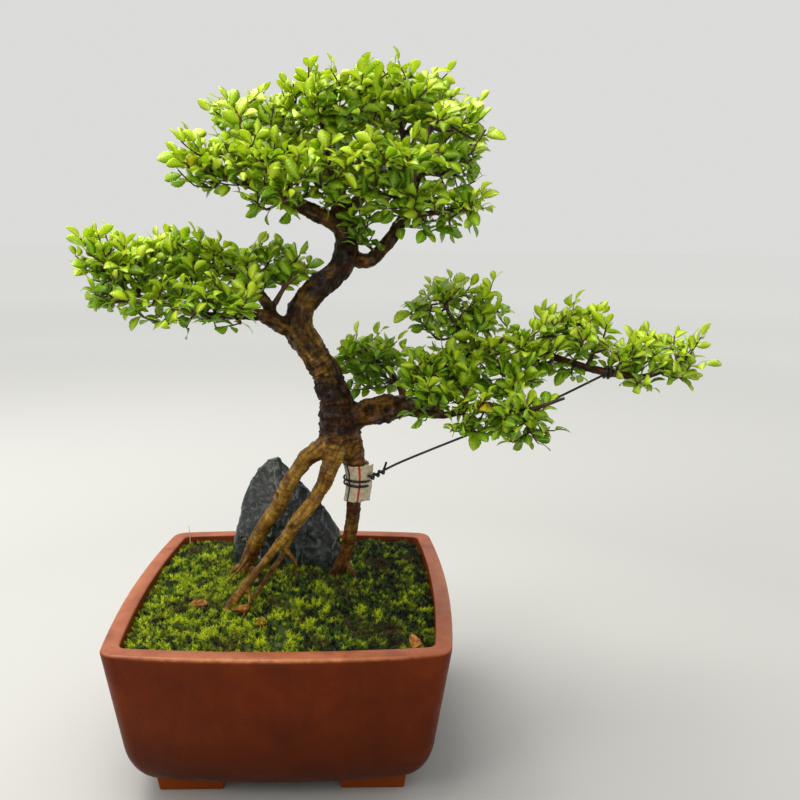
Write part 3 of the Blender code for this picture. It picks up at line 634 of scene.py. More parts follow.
@dataclass(frozen=True)
class BarkFinish(Finish):
    """Live root skin and bark, damp: golden where young and clean, near black where old, ringed by growth,
    painted lighter where light falls and darker in its creases.
    """

    name: str = "damp_bark"
    ior: float = 1.46
    roughness: float = 0.45
    deep: str = "1A1006"
    old: str = "46320F"
    ruddy: str = "5C2408"
    tan: str = "94691C"
    pale: str = "CBA043"
    ring: str = "2A160C"
    seam: str = "24140A"
    # painted shade in creases and scar hollows
    pit: str = "160D08"

    def material(self) -> bpy.types.Material:
        """Colours from the wood's own attributes, with its painted light and painted crease shade, broken up by
        ring-wise noise.
        """
        made, add, shader, where = self.start()
        grain = add(READ, attribute_name="grain").outputs["Vector"]
        warm, ruddy, pit = (add(READ, attribute_name=name).outputs["Fac"]
                            for name in ("warm", "ruddy", "pit"))
        ringed = add(MAPPING, {"Vector": grain, "Scale": (1.0, 0.16, 0.16)})
        rings = add(NOISE, (ringed, scale_for(2.2), 5, 0.65))
        blotch = add(NOISE, (where, scale_for(8), 5, 0.66, 2, 0.6))
        drawn = add(MAPPING, {"Vector": grain, "Scale": (0.22, 1.0, 1.0)})
        fibre = add(NOISE, (drawn, scale_for(2.6), 4, 0.6))
        both = add(MATH, (blotch, add(MATH, (fibre, 0.8), operation="MULTIPLY")), operation="ADD")
        mixed = add(MATH, (both, 0.9), operation="SUBTRACT")
        colour = add(RAMP, add(MATH, (warm, add(MATH, (mixed, 1.1), operation="MULTIPLY")), operation="ADD"),
                     stops=[(0.0, self.deep), (0.22, self.old), (0.62, self.tan), (1.0, self.pale)])
        patchy = add(RAMP, add(NOISE, (where, scale_for(5), 3, 0.6)), stops=[(0.35, 0.15), (0.6, 1.0)])
        part = add(MATH, (ruddy, patchy), operation="MULTIPLY")
        colour = add(MIX, (part, colour, self.ruddy), data_type="RGBA")
        # dark ring lines: ring colour, and painted shade in the bump's ring grooves
        ring_and_groove_shade = add(RAMP, rings, stops=[(0.38, 0.9), (0.52, 0.0)])
        part = add(MATH, (ring_and_groove_shade, 0.45), operation="MULTIPLY")
        colour = add(MIX, (part, colour, self.ring), data_type="RGBA")
        seam_dark = add(RAMP, fibre, stops=[(0.36, 0.7), (0.46, 0.0)])
        part = add(MATH, (seam_dark, 0.5), operation="MULTIPLY")
        colour = add(MIX, (part, colour, self.seam), data_type="RGBA")
        # painted shade: bark darkened in its creases and scar hollows
        colour = add(MIX, (add(MATH, (pit, 0.8), operation="MULTIPLY"), colour, self.pit), data_type="RGBA")
        wet = add(NOISE, (where, scale_for(6), 4, 0.6))
        fine = add(MATH, (add(NOISE, (where, scale_for(1.8), 5, 0.65)), 0.8), operation="MULTIPLY")
        height = add(MATH, (rings, fine), operation="ADD")
        fill(shader, {"Base Color": colour, "Roughness": add(RAMP, wet, stops=[(0.38, 0.22), (0.62, 0.6)]),
                      "Specular IOR Level": add(RAMP, wet, stops=[(0.36, 0.5), (0.5, 0.16)]),
                      "Normal": add(BUMP, {"Height": height, "Distance": 0.9 * MM, "Strength": 1.0})})
        return made


@dataclass(frozen=True)
class TwigFinish(Finish):
    """Bark of one-year twigs: thin, dark red-brown, with pale breathing pores."""

    name: str = "young_twig_bark"
    roughness: float = 0.55
    dark: str = "1E130D"
    red: str = "5E3422"
    pore: str = "8A6A4A"

    def material(self) -> bpy.types.Material:
        """Dark bark with a sprinkle of pores."""
        made, add, shader, where = self.start()
        colour = add(RAMP, add(NOISE, (where, scale_for(8), 3, 0.55)),
                     stops=[(0.35, self.dark), (0.7, self.red)])
        pores = add(RAMP, add(NOISE, (where, scale_for(0.9), 1, 0.55)), stops=[(0.66, 0.0), (0.74, 0.7)])
        relief = add(BUMP, {"Height": add(NOISE, (where, scale_for(1.2), 3, 0.55)), "Distance": 0.25 * MM,
                            "Strength": 1.0})
        fill(shader, {"Base Color": add(MIX, (pores, colour, self.pore), data_type="RGBA"), "Normal": relief})
        return made


@dataclass(frozen=True)
class LeafFinish(Finish):
    """Small leathery leaf: waxy upper skin, light shining through, a pale midrib and side veins."""

    name: str = "waxy_leaf"
    ior: float = 1.42
    roughness: float = 0.28
    shade: str = "1E5408"
    middle: str = "72A60E"
    # colour of sunlit leaves and new growth
    young_and_sunlit: str = "B4D21A"
    yellow: str = "E2CC1C"
    rib: str = "BCD048"
    glow: float = 0.22
    vein_pairs: int = 7

    def material(self) -> bpy.types.Material:
        """Colour by the leaf's own tint, which is painted light for the most part and how new the leaf is for
        the rest, with veins drawn on its own attribute.
        """
        made, add, shader, where = self.start()
        middle = add(MATH, (add(NOISE, (where, scale_for(6), 2, 0.55)), 0.5), operation="SUBTRACT")
        uneven = add(MATH, (middle, 0.25), operation="MULTIPLY")
        # tint: mostly painted light, partly how new the leaf is
        light_and_age = add(MATH, (add(READ, attribute_name="tint").outputs["Fac"], uneven), operation="ADD")
        colour = add(RAMP, light_and_age, stops=[(0.0, self.shade), (0.42, self.middle), (0.84, self.young_and_sunlit),
                                       (1.0, self.yellow)])
        axes = add(SPLIT, add(READ, attribute_name="blade").outputs["Vector"])
        off = add(MATH, axes.outputs["Y"], operation="ABSOLUTE")
        midrib = add(RAMP, off, stops=[(0.0, 1.0), (0.09, 0.0)])
        swept = add(MATH, (off, 0.28), operation="MULTIPLY")
        slant = add(MATH, (axes.outputs["X"], swept), operation="SUBTRACT")
        phase = add(MATH, (slant, 2 * math.pi * self.vein_pairs), operation="MULTIPLY")
        wave = add(MATH, phase, operation="SINE")
        veins = add(RAMP, wave, stops=[(0.86, 0.0), (1.0, 0.55)])
        lines = add(MATH, (add(MATH, (midrib, veins), operation="MAXIMUM"), 0.5), operation="MULTIPLY")
        grain = add(MATH, (add(NOISE, (where, scale_for(1.5), 2, 0.55)), 0.6), operation="MULTIPLY")
        quilt = add(MATH, (wave, grain), operation="ADD")
        fill(shader, {"Base Color": add(MIX, (lines, colour, self.rib), data_type="RGBA"),
                      "Specular IOR Level": 0.5, "Subsurface Weight": self.glow,
                      "Subsurface Radius": (0.5, 1.0, 0.15), "Subsurface Scale": 2.5 * MM,
                      "Normal": add(BUMP, {"Height": quilt, "Distance": 0.12 * MM, "Strength": 0.6})})
        return made


@dataclass(frozen=True)
class MossFinish(Finish):
    """Cushion moss: soft shoots, bright at the tips, brown where the cushion is old."""

    name: str = "cushion_moss"
    roughness: float = 0.7
    deep: str = "080D02"
    leaf: str = "4A6B04"
    tip: str = "C2D012"
    brown: str = "3A2A08"

    def material(self) -> bpy.types.Material:
        """Colour from each shoot's own tint, which carries painted light and shade, and from the cushion's
        patches.
        """
        made, add, shader, where = self.start()
        tint = add(READ, attribute_name="tint").outputs["Fac"]
        colour = add(RAMP, tint, stops=[(0.0, self.deep), (0.4, self.leaf), (0.95, self.tip)])
        old = add(RAMP, add(NOISE, (where, scale_for(34), 5, 0.66, 2, 0.6)), stops=[(0.5, 0.0), (0.64, 0.9)])
        relief = add(BUMP, {"Height": add(NOISE, (where, scale_for(1.2), 3, 0.55)), "Distance": 0.5 * MM,
                            "Strength": 1.0})
        fill(shader, {"Base Color": add(MIX, (old, colour, self.brown), data_type="RGBA"),
                      "Subsurface Weight": 0.15, "Subsurface Radius": (0.5, 1.0, 0.2),
                      "Subsurface Scale": 1.0 * MM, "Normal": relief})
        return made


@dataclass(frozen=True)
class SlateFinish(Finish):
    """River-worn slate, wet: blue-grey to black, with thin quartz veins and a green stain at its foot."""

    name: str = "wet_slate"
    ior: float = 1.55
    roughness: float = 0.3
    black: str = "0A0D0E"
    grey: str = "151C1C"
    pale: str = "343C3C"
    quartz: str = "A3A79C"
    stain: str = "2C3016"
    # pale rubbed edges with a painted highlight
    worn: str = "5A6664"

    def material(self) -> bpy.types.Material:
        """Cloudy stone with veins along the edges of warped cells."""
        made, add, shader, where = self.start()
        cloud = add(NOISE, (where, scale_for(28), 6, 0.62, 2, 0.8))
        colour = add(RAMP, cloud, stops=[(0.3, self.black), (0.52, self.grey), (0.78, self.pale)])
        swirl = add(NOISE, {"Vector": where, "Scale": 30.0, "Detail": 4.0}).outputs["Color"]
        shift = add("ShaderNodeVectorMath", (swirl, 12 * MM), operation="SCALE")
        warped = add("ShaderNodeVectorMath", (where, shift), operation="ADD")
        slanted = add(MAPPING, {"Vector": warped, "Rotation": (0.3, 0.9, 0.2), "Scale": (1.0, 0.5, 0.22)})
        middle = add(MATH, (add(NOISE, (slanted, scale_for(16), 3, 0.5)), 0.5), operation="SUBTRACT")
        vein = add(RAMP, add(MATH, middle, operation="ABSOLUTE"), stops=[(0.0, 1.0), (0.012, 0.0)])
        broken = add(RAMP, add(NOISE, (where, scale_for(14), 3, 0.55)), stops=[(0.46, 0.0), (0.6, 0.8)])
        part = add(MATH, (vein, broken), operation="MULTIPLY")
        colour = add(MIX, (part, colour, self.quartz), data_type="RGBA")
        moist = add(RAMP, add(NOISE, (where, scale_for(12), 4, 0.55)), stops=[(0.55, 0.0), (0.7, 0.5)])
        colour = add(MIX, (moist, colour, self.stain), data_type="RGBA")
        # pale ridges and edges: rubbed stone, and a painted highlight
        edge = add(READ, attribute_name="edge").outputs["Fac"]
        patchy = add(RAMP, add(NOISE, (where, scale_for(5), 3, 0.55)), stops=[(0.35, 0.1), (0.6, 0.8)])
        part = add(MATH, (edge, patchy), operation="MULTIPLY")
        colour = add(MIX, (part, colour, self.worn), data_type="RGBA")
        wet = add(RAMP, add(NOISE, (where, scale_for(9), 5, 0.6)), stops=[(0.35, 0.1), (0.65, 0.36)])
        height = add(MATH, (add(NOISE, (where, scale_for(2.2), 6, 0.65)), cloud), operation="ADD")
        fill(shader, {"Base Color": colour, "Roughness": wet,
                      "Normal": add(BUMP, {"Height": height, "Distance": 0.6 * MM, "Strength": 0.7})})
        return made


@dataclass(frozen=True)
class WovenTapeFinish(Finish):
    """Woven polypropylene strapping, cut from an old sack: ribbed, milky, with a printed line or two."""

    name: str = "woven_polypropylene"
    ior: float = 1.49
    roughness: float = 0.38
    cream: str = "DDCFB0"
    grime: str = "8F7F5C"
    red: str = "C3261C"
    navy: str = "1D2440"
    tape_mm: float = 2.2

    def material(self) -> bpy.types.Material:
        """Ribs and lines follow the wrap's own attribute: turn in x, height in millimetres in y."""
        made, add, shader, where = self.start()
        axes = add(SPLIT, add(READ, attribute_name="wrap").outputs["Vector"])
        turn, height = axes.outputs["X"], axes.outputs["Y"]
        grime = add(RAMP, add(NOISE, (where, scale_for(6), 4, 0.6)), stops=[(0.42, 0.0), (0.75, 0.7)])
        colour = add(MIX, (grime, self.cream, self.grime), data_type="RGBA")
        for at, width, code in ((0.22, 0.1, self.red), (-0.72, 0.09, self.navy)):
            near = add(MATH, add(MATH, (turn, at), operation="SUBTRACT"), operation="ABSOLUTE")
            line = add(RAMP, add(MATH, (near, width), operation="DIVIDE"), stops=[(0.8, 1.0), (1.0, 0.0)])
            colour = add(MIX, (line, colour, code), data_type="RGBA")
        # tapes alternately over and under
        rows = add(MATH, (height, 2 * math.pi / self.tape_mm), operation="MULTIPLY")
        weft = add(MATH, rows, operation="SINE")
        warp = add(MATH, add(MATH, (turn, 2 * math.pi * 5), operation="MULTIPLY"), operation="SINE")
        cloth = add(MATH, (weft, warp), operation="MULTIPLY")
        fill(shader, {"Base Color": colour, "Subsurface Weight": 0.2, "Subsurface Scale": 1.5 * MM,
                      "Normal": add(BUMP, {"Height": cloth, "Distance": 0.25 * MM, "Strength": 0.8})})
        return made


@dataclass(frozen=True)
class PlainFinish(Finish):
    """A quiet finish of two tones and a fine bump, for small or hidden pieces."""

    dark: str = "101010"
    light: str = "202020"
    lump_mm: float = 4.0
    bump_mm: float = 0.1

    def material(self) -> bpy.types.Material:
        """Two tones in lumps, with a bump of the same grain."""
        made, add, shader, where = self.start()
        patches = add(NOISE, (where, scale_for(self.lump_mm), 4, 0.6))
        fine = add(NOISE, (where, scale_for(self.lump_mm / 3), 3, 0.55))
        fill(shader, {"Base Color": add(RAMP, patches, stops=[(0.35, self.dark), (0.68, self.light)]),
                      "Normal": add(BUMP, {"Height": fine, "Distance": self.bump_mm * MM, "Strength": 1.0})})
        return made


# black annealed steel wire in a thin PVC skin: a soft gloss, dulled by handling
GUY_FINISH = PlainFinish("pvc_coated_wire", roughness=0.42, dark="0B0B0C", light="1E1E20", bump_mm=0.05)
# injection-moulded polyethylene lattice
MESH_FINISH = PlainFinish("moulded_polyethylene", ior=1.5, roughness=0.5, dark="141516", light="222426",
                          bump_mm=0.04)
# drawn aluminium wire, oxidised by wet soil
CLIP_FINISH = PlainFinish("oxidised_aluminium_wire", metallic=1.0, roughness=0.45, dark="7C7F82",
                          light="A9ACAE",
                          bump_mm=0.03)
# baked-clay grit and peat
SOIL_FINISH = PlainFinish("peat_and_clay_grit", roughness=0.95, dark="17100A", light="46331F", lump_mm=3.0,
                          bump_mm=1.0)
# fallen leaf: dry, orange to brown
DRY_LEAF_FINISH = PlainFinish("dry_leaf_litter", roughness=0.7, dark="6E3A14", light="D08A34", lump_mm=5.0,
                              bump_mm=0.2)
# dead grass: straw
STRAW_FINISH = PlainFinish("dry_straw", roughness=0.65, dark="A98A50", light="D9C48C", lump_mm=3.0,
                           bump_mm=0.05)


# ---- pot --------------------------------------------------------------------------------------------


@dataclass
class Pot:
    """Square bonsai pot with bowed sides, four block feet and a drain hole."""

    site: Site
    finish: StonewareFinish = field(default_factory=StonewareFinish)
    heel_steps: int = 14
    lip_steps: int = 5
    hand_wave: float = 0.25 * MM

    def body_rings(self) -> list[np.ndarray]:
        """Rings up the outside, over the rim and down the inside."""
        site, sizes = self.site, PotSizes
        foot, heel, lip = sizes.FOOT_HEIGHT.value, sizes.HEEL_HEIGHT.value, sizes.LIP.value
        stations = []
        turns = np.linspace(math.pi / 2, 0, self.heel_steps + 1)
        drops = foot + heel * (1 - np.sin(turns))
        for z in [*drops, *np.linspace(drops[-1], site.rim - lip - 1.2 * MM, 22)[1:], site.rim - lip]:
            stations.append((z, bowed_square(outer_half(site, z), sizes.SIDE_BOW.value,
                                             sizes.CORNER_RADIUS.value)))
        for angle in np.linspace(0, math.pi / 2, self.lip_steps + 1)[1:]:
            z, inset = site.rim - lip * (1 - math.sin(angle)), lip * (1 - math.cos(angle))
            stations.append((z, bowed_square(outer_half(site, z) - inset, sizes.SIDE_BOW.value,
                                             sizes.CORNER_RADIUS.value - inset)))
        soft = lip * 0.6
        for angle in np.linspace(math.pi / 2, 0, self.lip_steps):
            z = site.rim - soft * (1 - math.sin(angle))
            stations.append((z, inner_outline(site, z, soft * (1 - math.cos(angle)))))
        floor = foot + sizes.FLOOR.value
        down = [*np.linspace(site.rim - soft, foot + heel, 8)[1:], *np.linspace(foot + heel, floor, 8)[1:]]
        for z in down:
            stations.append((z, inner_outline(site, z)))
        return [np.c_[flat, np.full(len(flat), z)] for z, flat in stations]

    def block(self, side_x: int, side_y: int) -> bpy.types.Object:
        """One foot, a little smaller at the ground.

        Args:
            side_x: -1 or 1, the side in x.
            side_y: -1 or 1, the side in y.

        Returns:
            The foot.
        """
        sizes = PotSizes
        outer = outer_half(self.site, sizes.FOOT_HEIGHT.value) - sizes.FOOT_SETBACK.value
        rings = []
        for z, draft in ((0.0, sizes.FOOT_DRAFT.value),
                         (sizes.FOOT_HEIGHT.value + sizes.FOOT_ROOTED.value, 0.0)):
            xs = sorted((side_x * (outer - draft), side_x * (outer - sizes.FOOT_LENGTH.value + draft)))
            ys = sorted((side_y * (outer - draft), side_y * (outer - sizes.FOOT_DEPTH.value + draft)))
            rings.append(np.array([(xs[i], ys[j], z) for i, j in ((0, 0), (1, 0), (1, 1), (0, 1))]))
        foot = mesh_object("foot", *loft(rings), smooth=False)
        soft = foot.modifiers.new("soft", "BEVEL")
        soft.width, soft.segments = 1.4 * MM, 3
        return apply_modifiers(foot)

    def build(self) -> bpy.types.Object:
        """Body, feet and drain hole as one piece, with its rubbed edges, chalky top and painted light marked
        for the finish.
        """
        pot = mesh_object("pot_clay", *loft(self.body_rings()))
        tools = [(self.block(sx, sy), "UNION") for sx in (-1, 1) for sy in (-1, 1)]
        turn = np.linspace(0, 2 * math.pi, 48, endpoint=False)
        sizes = PotSizes
        levels = [(0.0, 1.3), (sizes.FOOT_HEIGHT.value, 1.06), (sizes.FOOT_HEIGHT.value + 1 * MM, 1.0),
                  (sizes.FOOT_HEIGHT.value + sizes.FLOOR.value - 1 * MM, 1.0),
                  (sizes.FOOT_HEIGHT.value + sizes.FLOOR.value + 1 * MM, 1.12)]
        rings = [np.c_[np.cos(turn), np.sin(turn), np.zeros(48)] * (sizes.DRAIN_RADIUS.value * k) + (0, 0, z)
                 for z, k in levels]
        tools.append((mesh_object("drill", *loft(rings)), "DIFFERENCE"))
        for tool, operation in tools:
            step = pot.modifiers.new("cut", "BOOLEAN")
            step.operation, step.object, step.solver = operation, tool, "EXACT"
            apply_modifiers(pot)
            bpy.data.objects.remove(tool)
        self.wave_and_mark(pot)
        pot.data.shade_smooth()
        pot.data.set_sharp_from_angle(angle=math.radians(50))
        pot.data.materials.clear()
        pot.data.materials.append(self.finish.material())
        return pot

    def wave_and_mark(self, pot: bpy.types.Object) -> None:
        """Give the walls a hand-made wave and mark the chalky top, painted lighter as if lit from above, and
        the rubbed outer edge, which carries a painted highlight.

        Args:
            pot: the pot, whose mesh is changed.
        """
        points = mesh_points(pot.data)
        rim, lip = self.site.rim, PotSizes.LIP.value
        half = np.abs(points[:, :2]).max(axis=1)
        face_half = np.array([outer_half(self.site, z) for z in np.clip(points[:, 2], 0, rim)])
        outside = smoothstep(-8 * MM, -1 * MM, half - face_half)
        wave = noise_at(points, 60 * MM, 1) * self.hand_wave * outside - self.hand_wave * 0.5 * outside
        flat = points[:, :2] / (np.linalg.norm(points[:, :2], axis=1, keepdims=True) + 1e-9)
        moving = (points[:, 2] > PotSizes.FOOT_HEIGHT.value + 1 * MM)
        points[:, :2] += flat * (wave * moving)[:, None]
        set_points(pot.data, points)
        # the rim's top, which the finish paints chalky and lighter as if lit from above
        top = smoothstep(rim - lip * 0.8, rim - lip * 0.05, points[:, 2])
        set_attribute(pot.data, "upward", top)
        # the lip's outer edge: rubbed wear and a painted highlight line
        edge = np.exp(-((points[:, 2] - (rim - lip * 0.45)) / (1.3 * MM)) ** 2) * outside
        set_attribute(pot.data, "worn", np.clip(edge, 0, 1))
        pot.data.transform(Matrix.Translation((self.site.axis_x, self.site.axis_y, 0)))


# ---- bed of moss ------------------------------------------------------------------------------------


@dataclass
class MossBed:
    """Moss over the whole opening: a lumpy cushion with thousands of shoots standing on it."""

    site: Site
    finish: MossFinish = field(default_factory=MossFinish)
    thickness: float = 8 * MM
    hummock: float = 2.6 * MM
    shoots_per_m2: float = 150_000
    shoot_kinds: int = 4

    def dome(self, share: np.ndarray) -> np.ndarray:
        """Height over the ground at a share of the way from the middle to the wall."""
        edge = self.site.rim - PotSizes.MOSS_DROP.value
        return edge + PotSizes.MOSS_DOME.value * (1 - np.clip(share, 0, 1) ** 2.2)

    def lumps(self, flat: np.ndarray) -> np.ndarray:
        """Hummocks of a few centimetres, and smaller ones on them.

        Args:
            flat: places in the plane.

        Returns:
            A height for each place.
        """
        points = np.c_[flat, np.zeros(len(flat))]
        return self.hummock * (0.9 * noise_at(points, 26 * MM, 2) + 0.9 * noise_at(points, 12 * MM, 3)
                               + 0.55 * noise_at(points, 5 * MM, 4))

    def cushion(self) -> bpy.types.Object:
        """The cushion under the shoots, closed underneath."""
        edge_z = self.site.rim - PotSizes.MOSS_DROP.value
        edge = inner_outline(self.site, edge_z, -0.4 * MM)
        shares = np.linspace(1.0, 0.02, 54)
        rings = [np.c_[edge * 0.985, np.full(len(edge), edge_z - self.thickness)]]
        for share in shares:
            flat = edge * share
            rings.append(np.c_[flat, np.full(len(flat), self.dome(np.array([share]))[0]) + self.lumps(flat)])
        cushion = mesh_object("moss_cushion", *loft(rings))
        cushion.data.transform(Matrix.Translation((self.site.axis_x, self.site.axis_y, 0)))
        set_attribute(cushion.data, "tint",
                      np.clip(0.12 + 40 * noise_at(mesh_points(cushion.data), 4 * MM) * MM, 0, 0.3))
        cushion.data.materials.append(self.finish.material())
        return cushion

    def shoot(self, kind: int) -> bpy.types.Object:
        """One shoot: pointed leaflets fanned round a stem, each closed.

        Args:
            kind: which of the shoots, also its seed.

        Returns:
            The shoot.
        """
        random = np.random.default_rng(100 + kind)
        points, faces = [], []
        for leaflet in range(9):
            turn = leaflet * 2.4 + random.uniform(-0.3, 0.3)
            lean = 0.25 + 0.95 * (leaflet / 9) + random.uniform(-0.1, 0.1)
            length = random.uniform(2.6, 4.2) * MM * (1.1 - 0.3 * leaflet / 9)
            out = np.array([math.cos(turn), math.sin(turn), 0.0])
            side = np.array([-out[1], out[0], 0.0])
            rise = np.array([0.0, 0.0, 1.0])
            foot = rise * (0.8 - 0.1 * leaflet) * MM
            waist = foot + (out * math.sin(lean * 0.6) + rise * math.cos(lean * 0.6)) * length * 0.45
            tip = waist + (out * math.sin(lean * 1.25) + rise * math.cos(lean * 1.25)) * length * 0.6
            wide = 0.42 * MM
            base = len(points)
            points += [foot, waist - side * wide, waist + side * wide, waist + (rise - out) * 0.14 * MM,
                       waist - (rise - out) * 0.14 * MM, tip]
            for loop in ((0, 1, 3), (0, 3, 2), (0, 2, 4), (0, 4, 1), (5, 3, 1), (5, 2, 3), (5, 4, 2),
                         (5, 1, 4)):
                faces.append(tuple(base + i for i in loop))
        shoot = mesh_object(f"moss_shoot_{kind}", points, faces, smooth=False)
        face_outwards(shoot)
        return shoot

    def scatter_tree(self) -> bpy.types.NodeTree:
        """Geometry Nodes that stand shoots on a surface, tilted and tinted at random, with painted light and
        shade added to the tint.
        """
        tree = bpy.data.node_groups.new("moss_scatter", "GeometryNodeTree")
        socket = tree.interface.new_socket
        socket("Surface", in_out="INPUT", socket_type="NodeSocketGeometry")
        socket("Shoots", in_out="INPUT", socket_type="NodeSocketCollection")
        socket("Shoots per square metre", in_out="INPUT", socket_type="NodeSocketFloat")
        socket("Seed", in_out="INPUT", socket_type="NodeSocketInt")
        socket("Finish", in_out="INPUT", socket_type="NodeSocketMaterial")
        socket("Moss", in_out="OUTPUT", socket_type="NodeSocketGeometry")
        given = add_node(tree, "NodeGroupInput").outputs
        keep = add_node(tree, "GeometryNodeInputNamedAttribute", {"Name": "grows"}, data_type="FLOAT")
        density = add_node(tree, "ShaderNodeMath", {0: given["Shoots per square metre"], 1: keep.outputs[0]},
                           operation="MULTIPLY").outputs[0]
        points = add_node(tree, "GeometryNodeDistributePointsOnFaces",
                          {"Mesh": given["Surface"], "Density": density, "Seed": given["Seed"]})
        tilt = add_node(tree, "FunctionNodeRandomValue", {"Seed": given["Seed"]}, data_type="FLOAT_VECTOR")
        tilt.inputs["Min"].default_value = (-0.45, -0.45, 0.0)
        tilt.inputs["Max"].default_value = (0.45, 0.45, 2 * math.pi)
        leaning = add_node(tree, "FunctionNodeEulerToRotation", {0: tilt.outputs[0]})
        turned = add_node(tree, "FunctionNodeRotateRotation",
                          {"Rotation": points.outputs["Rotation"], "Rotate By": leaning.outputs[0]},
                          rotation_space="LOCAL")
        size = add_node(tree, "FunctionNodeRandomValue", {"Seed": given["Seed"]}, data_type="FLOAT")
        size.inputs[2].default_value, size.inputs[3].default_value = 0.6, 1.4
        kinds = add_node(tree, "GeometryNodeCollectionInfo",
                         {"Collection": given["Shoots"], "Separate Children": True, "Reset Children": True})
        planted = add_node(tree, "GeometryNodeInstanceOnPoints",
                           {"Points": points.outputs["Points"], "Instance": kinds.outputs[0],
                            "Pick Instance": True,
                            "Rotation": turned.outputs[0], "Scale": size.outputs[1]})
        patch = add_node(tree, "ShaderNodeTexNoise",
                         {"Scale": 1 / (11 * MM), "Detail": 4.0, "Distortion": 0.5})
        own = add_node(tree, "FunctionNodeRandomValue", {"Seed": 5}, data_type="FLOAT")
        own.inputs[2].default_value, own.inputs[3].default_value = -0.45, 0.5
        strong = add_node(tree, "ShaderNodeMapRange",
                          {0: patch.outputs[0], 1: 0.38, 2: 0.64, 3: -0.1, 4: 1.0})
        # painted light and shade stored on the cushion
        lush = add_node(tree, "GeometryNodeInputNamedAttribute", {"Name": "lush"}, data_type="FLOAT")
        light = add_node(tree, "ShaderNodeMath", {0: strong.outputs[0], 1: lush.outputs[0]}, operation="ADD")
        tint = add_node(tree, "ShaderNodeMath", {0: light.outputs[0], 1: own.outputs[1]}, operation="ADD")
        stored = add_node(tree, "GeometryNodeStoreNamedAttribute",
                          {"Geometry": planted.outputs[0], "Name": "tint", "Value": tint.outputs[0]},
                          data_type="FLOAT", domain="INSTANCE")
        real = add_node(tree, "GeometryNodeRealizeInstances", {0: stored.outputs[0]})
        dressed = add_node(tree, "GeometryNodeSetMaterial", {"Geometry": real.outputs[0],
                                                             "Material": given["Finish"]})
        add_node(tree, "NodeGroupOutput", {0: dressed.outputs[0]})
        return tree

    def build(self, clear_of: Callable[[np.ndarray], np.ndarray]) -> list[bpy.types.Object]:
        """The cushion and its shoots.

        Args:
            clear_of: gives 0 where nothing grows and 1 where moss grows freely, for an array of points.

        Returns:
            The cushion and a field of shoots for each quarter of it.
        """
        cushion = self.cushion()
        material = cushion.data.materials[0]
        kinds = collection_of("moss_shoots", [self.shoot(k) for k in range(self.shoot_kinds)])
        tree = self.scatter_tree()
        points = mesh_points(cushion.data)
        normals = mesh_normals(cushion.data)
        grows = clear_of(points) * smoothstep(0.2, 0.5, normals[:, 2])
        aside = (points - (self.site.axis_x, self.site.axis_y, 0)) / self.site.half
        # painted light and shade: moss lighter at the front left, darker to the right, at the back and round
        # the middle under the tree
        lush = 0.1 - 0.34 * smoothstep(-0.1, 0.6, aside[:, 0]) - 0.2 * smoothstep(0.0, 0.7, aside[:, 1])
        lush -= 0.28 * np.exp(-((aside[:, 0] + 0.05) ** 2 + (aside[:, 1] + 0.1) ** 2) / 0.09)
        fields = []
        quarters = ((depth, depth_sign, side, side_sign) for depth, depth_sign in (("front", -1), ("back", 1))
                    for side, side_sign in (("left", -1), ("right", 1)))
        for seed, (depth, depth_sign, side, side_sign) in enumerate(quarters, start=10):
            ground = cushion.copy()
            ground.data = cushion.data.copy()
            bpy.context.scene.collection.objects.link(ground)
            inside = (aside[:, 0] * side_sign > 0) & (aside[:, 1] * depth_sign > 0)
            set_attribute(ground.data, "grows", grows * inside)
            set_attribute(ground.data, "lush", lush)
            fields.append(grown_copy(f"moss_shoots_{depth}_{side}", ground, tree, {
                "Shoots": kinds, "Shoots per square metre": self.shoots_per_m2, "Seed": seed,
                "Finish": material}))
        drop_collection(kinds)
        return [cushion, *fields]


def collection_of(name: str, objects: Iterable[bpy.types.Object]) -> bpy.types.Collection:
    """A collection, outside the scene, that holds only these objects.

    Args:
        name: its name.
        objects: what it holds.

    Returns:
        The collection.
    """
    kinds = bpy.data.collections.new(name)
    for obj in objects:
        for home in list(obj.users_collection):
            home.objects.unlink(obj)
        kinds.objects.link(obj)
    return kinds


def drop_collection(kinds: bpy.types.Collection) -> None:
    """Remove a collection and what is in it.

    Args:
        kinds: the collection.
    """
    for obj in list(kinds.objects):
        bpy.data.objects.remove(obj)
    bpy.data.collections.remove(kinds)


def grown_copy(name: str, source: bpy.types.Object, tree: bpy.types.NodeTree,
               values: dict) -> bpy.types.Object:
    """Run a Geometry Nodes tree on a source object and keep the result as a plain mesh.

    Args:
        name: the new piece's name.
        source: the object that the tree works on; it is removed.
        tree: the Geometry Nodes tree.
        values: the tree's inputs by name.

    Returns:
        The new piece.
    """
    step = source.modifiers.new("grow", "NODES")
    step.node_group = tree
    for item in tree.interface.items_tree:
        if item.item_type == "SOCKET" and item.in_out == "INPUT" and item.name in values:
            step[item.identifier] = values[item.name]
    mesh = evaluated(source)
    source.modifiers.clear()
    bpy.data.objects.remove(source)
    mesh.name = name
    made = bpy.data.objects.new(name, mesh)
    bpy.context.scene.collection.objects.link(made)
    return made


# ---- stone ------------------------------------------------------------------------------------------


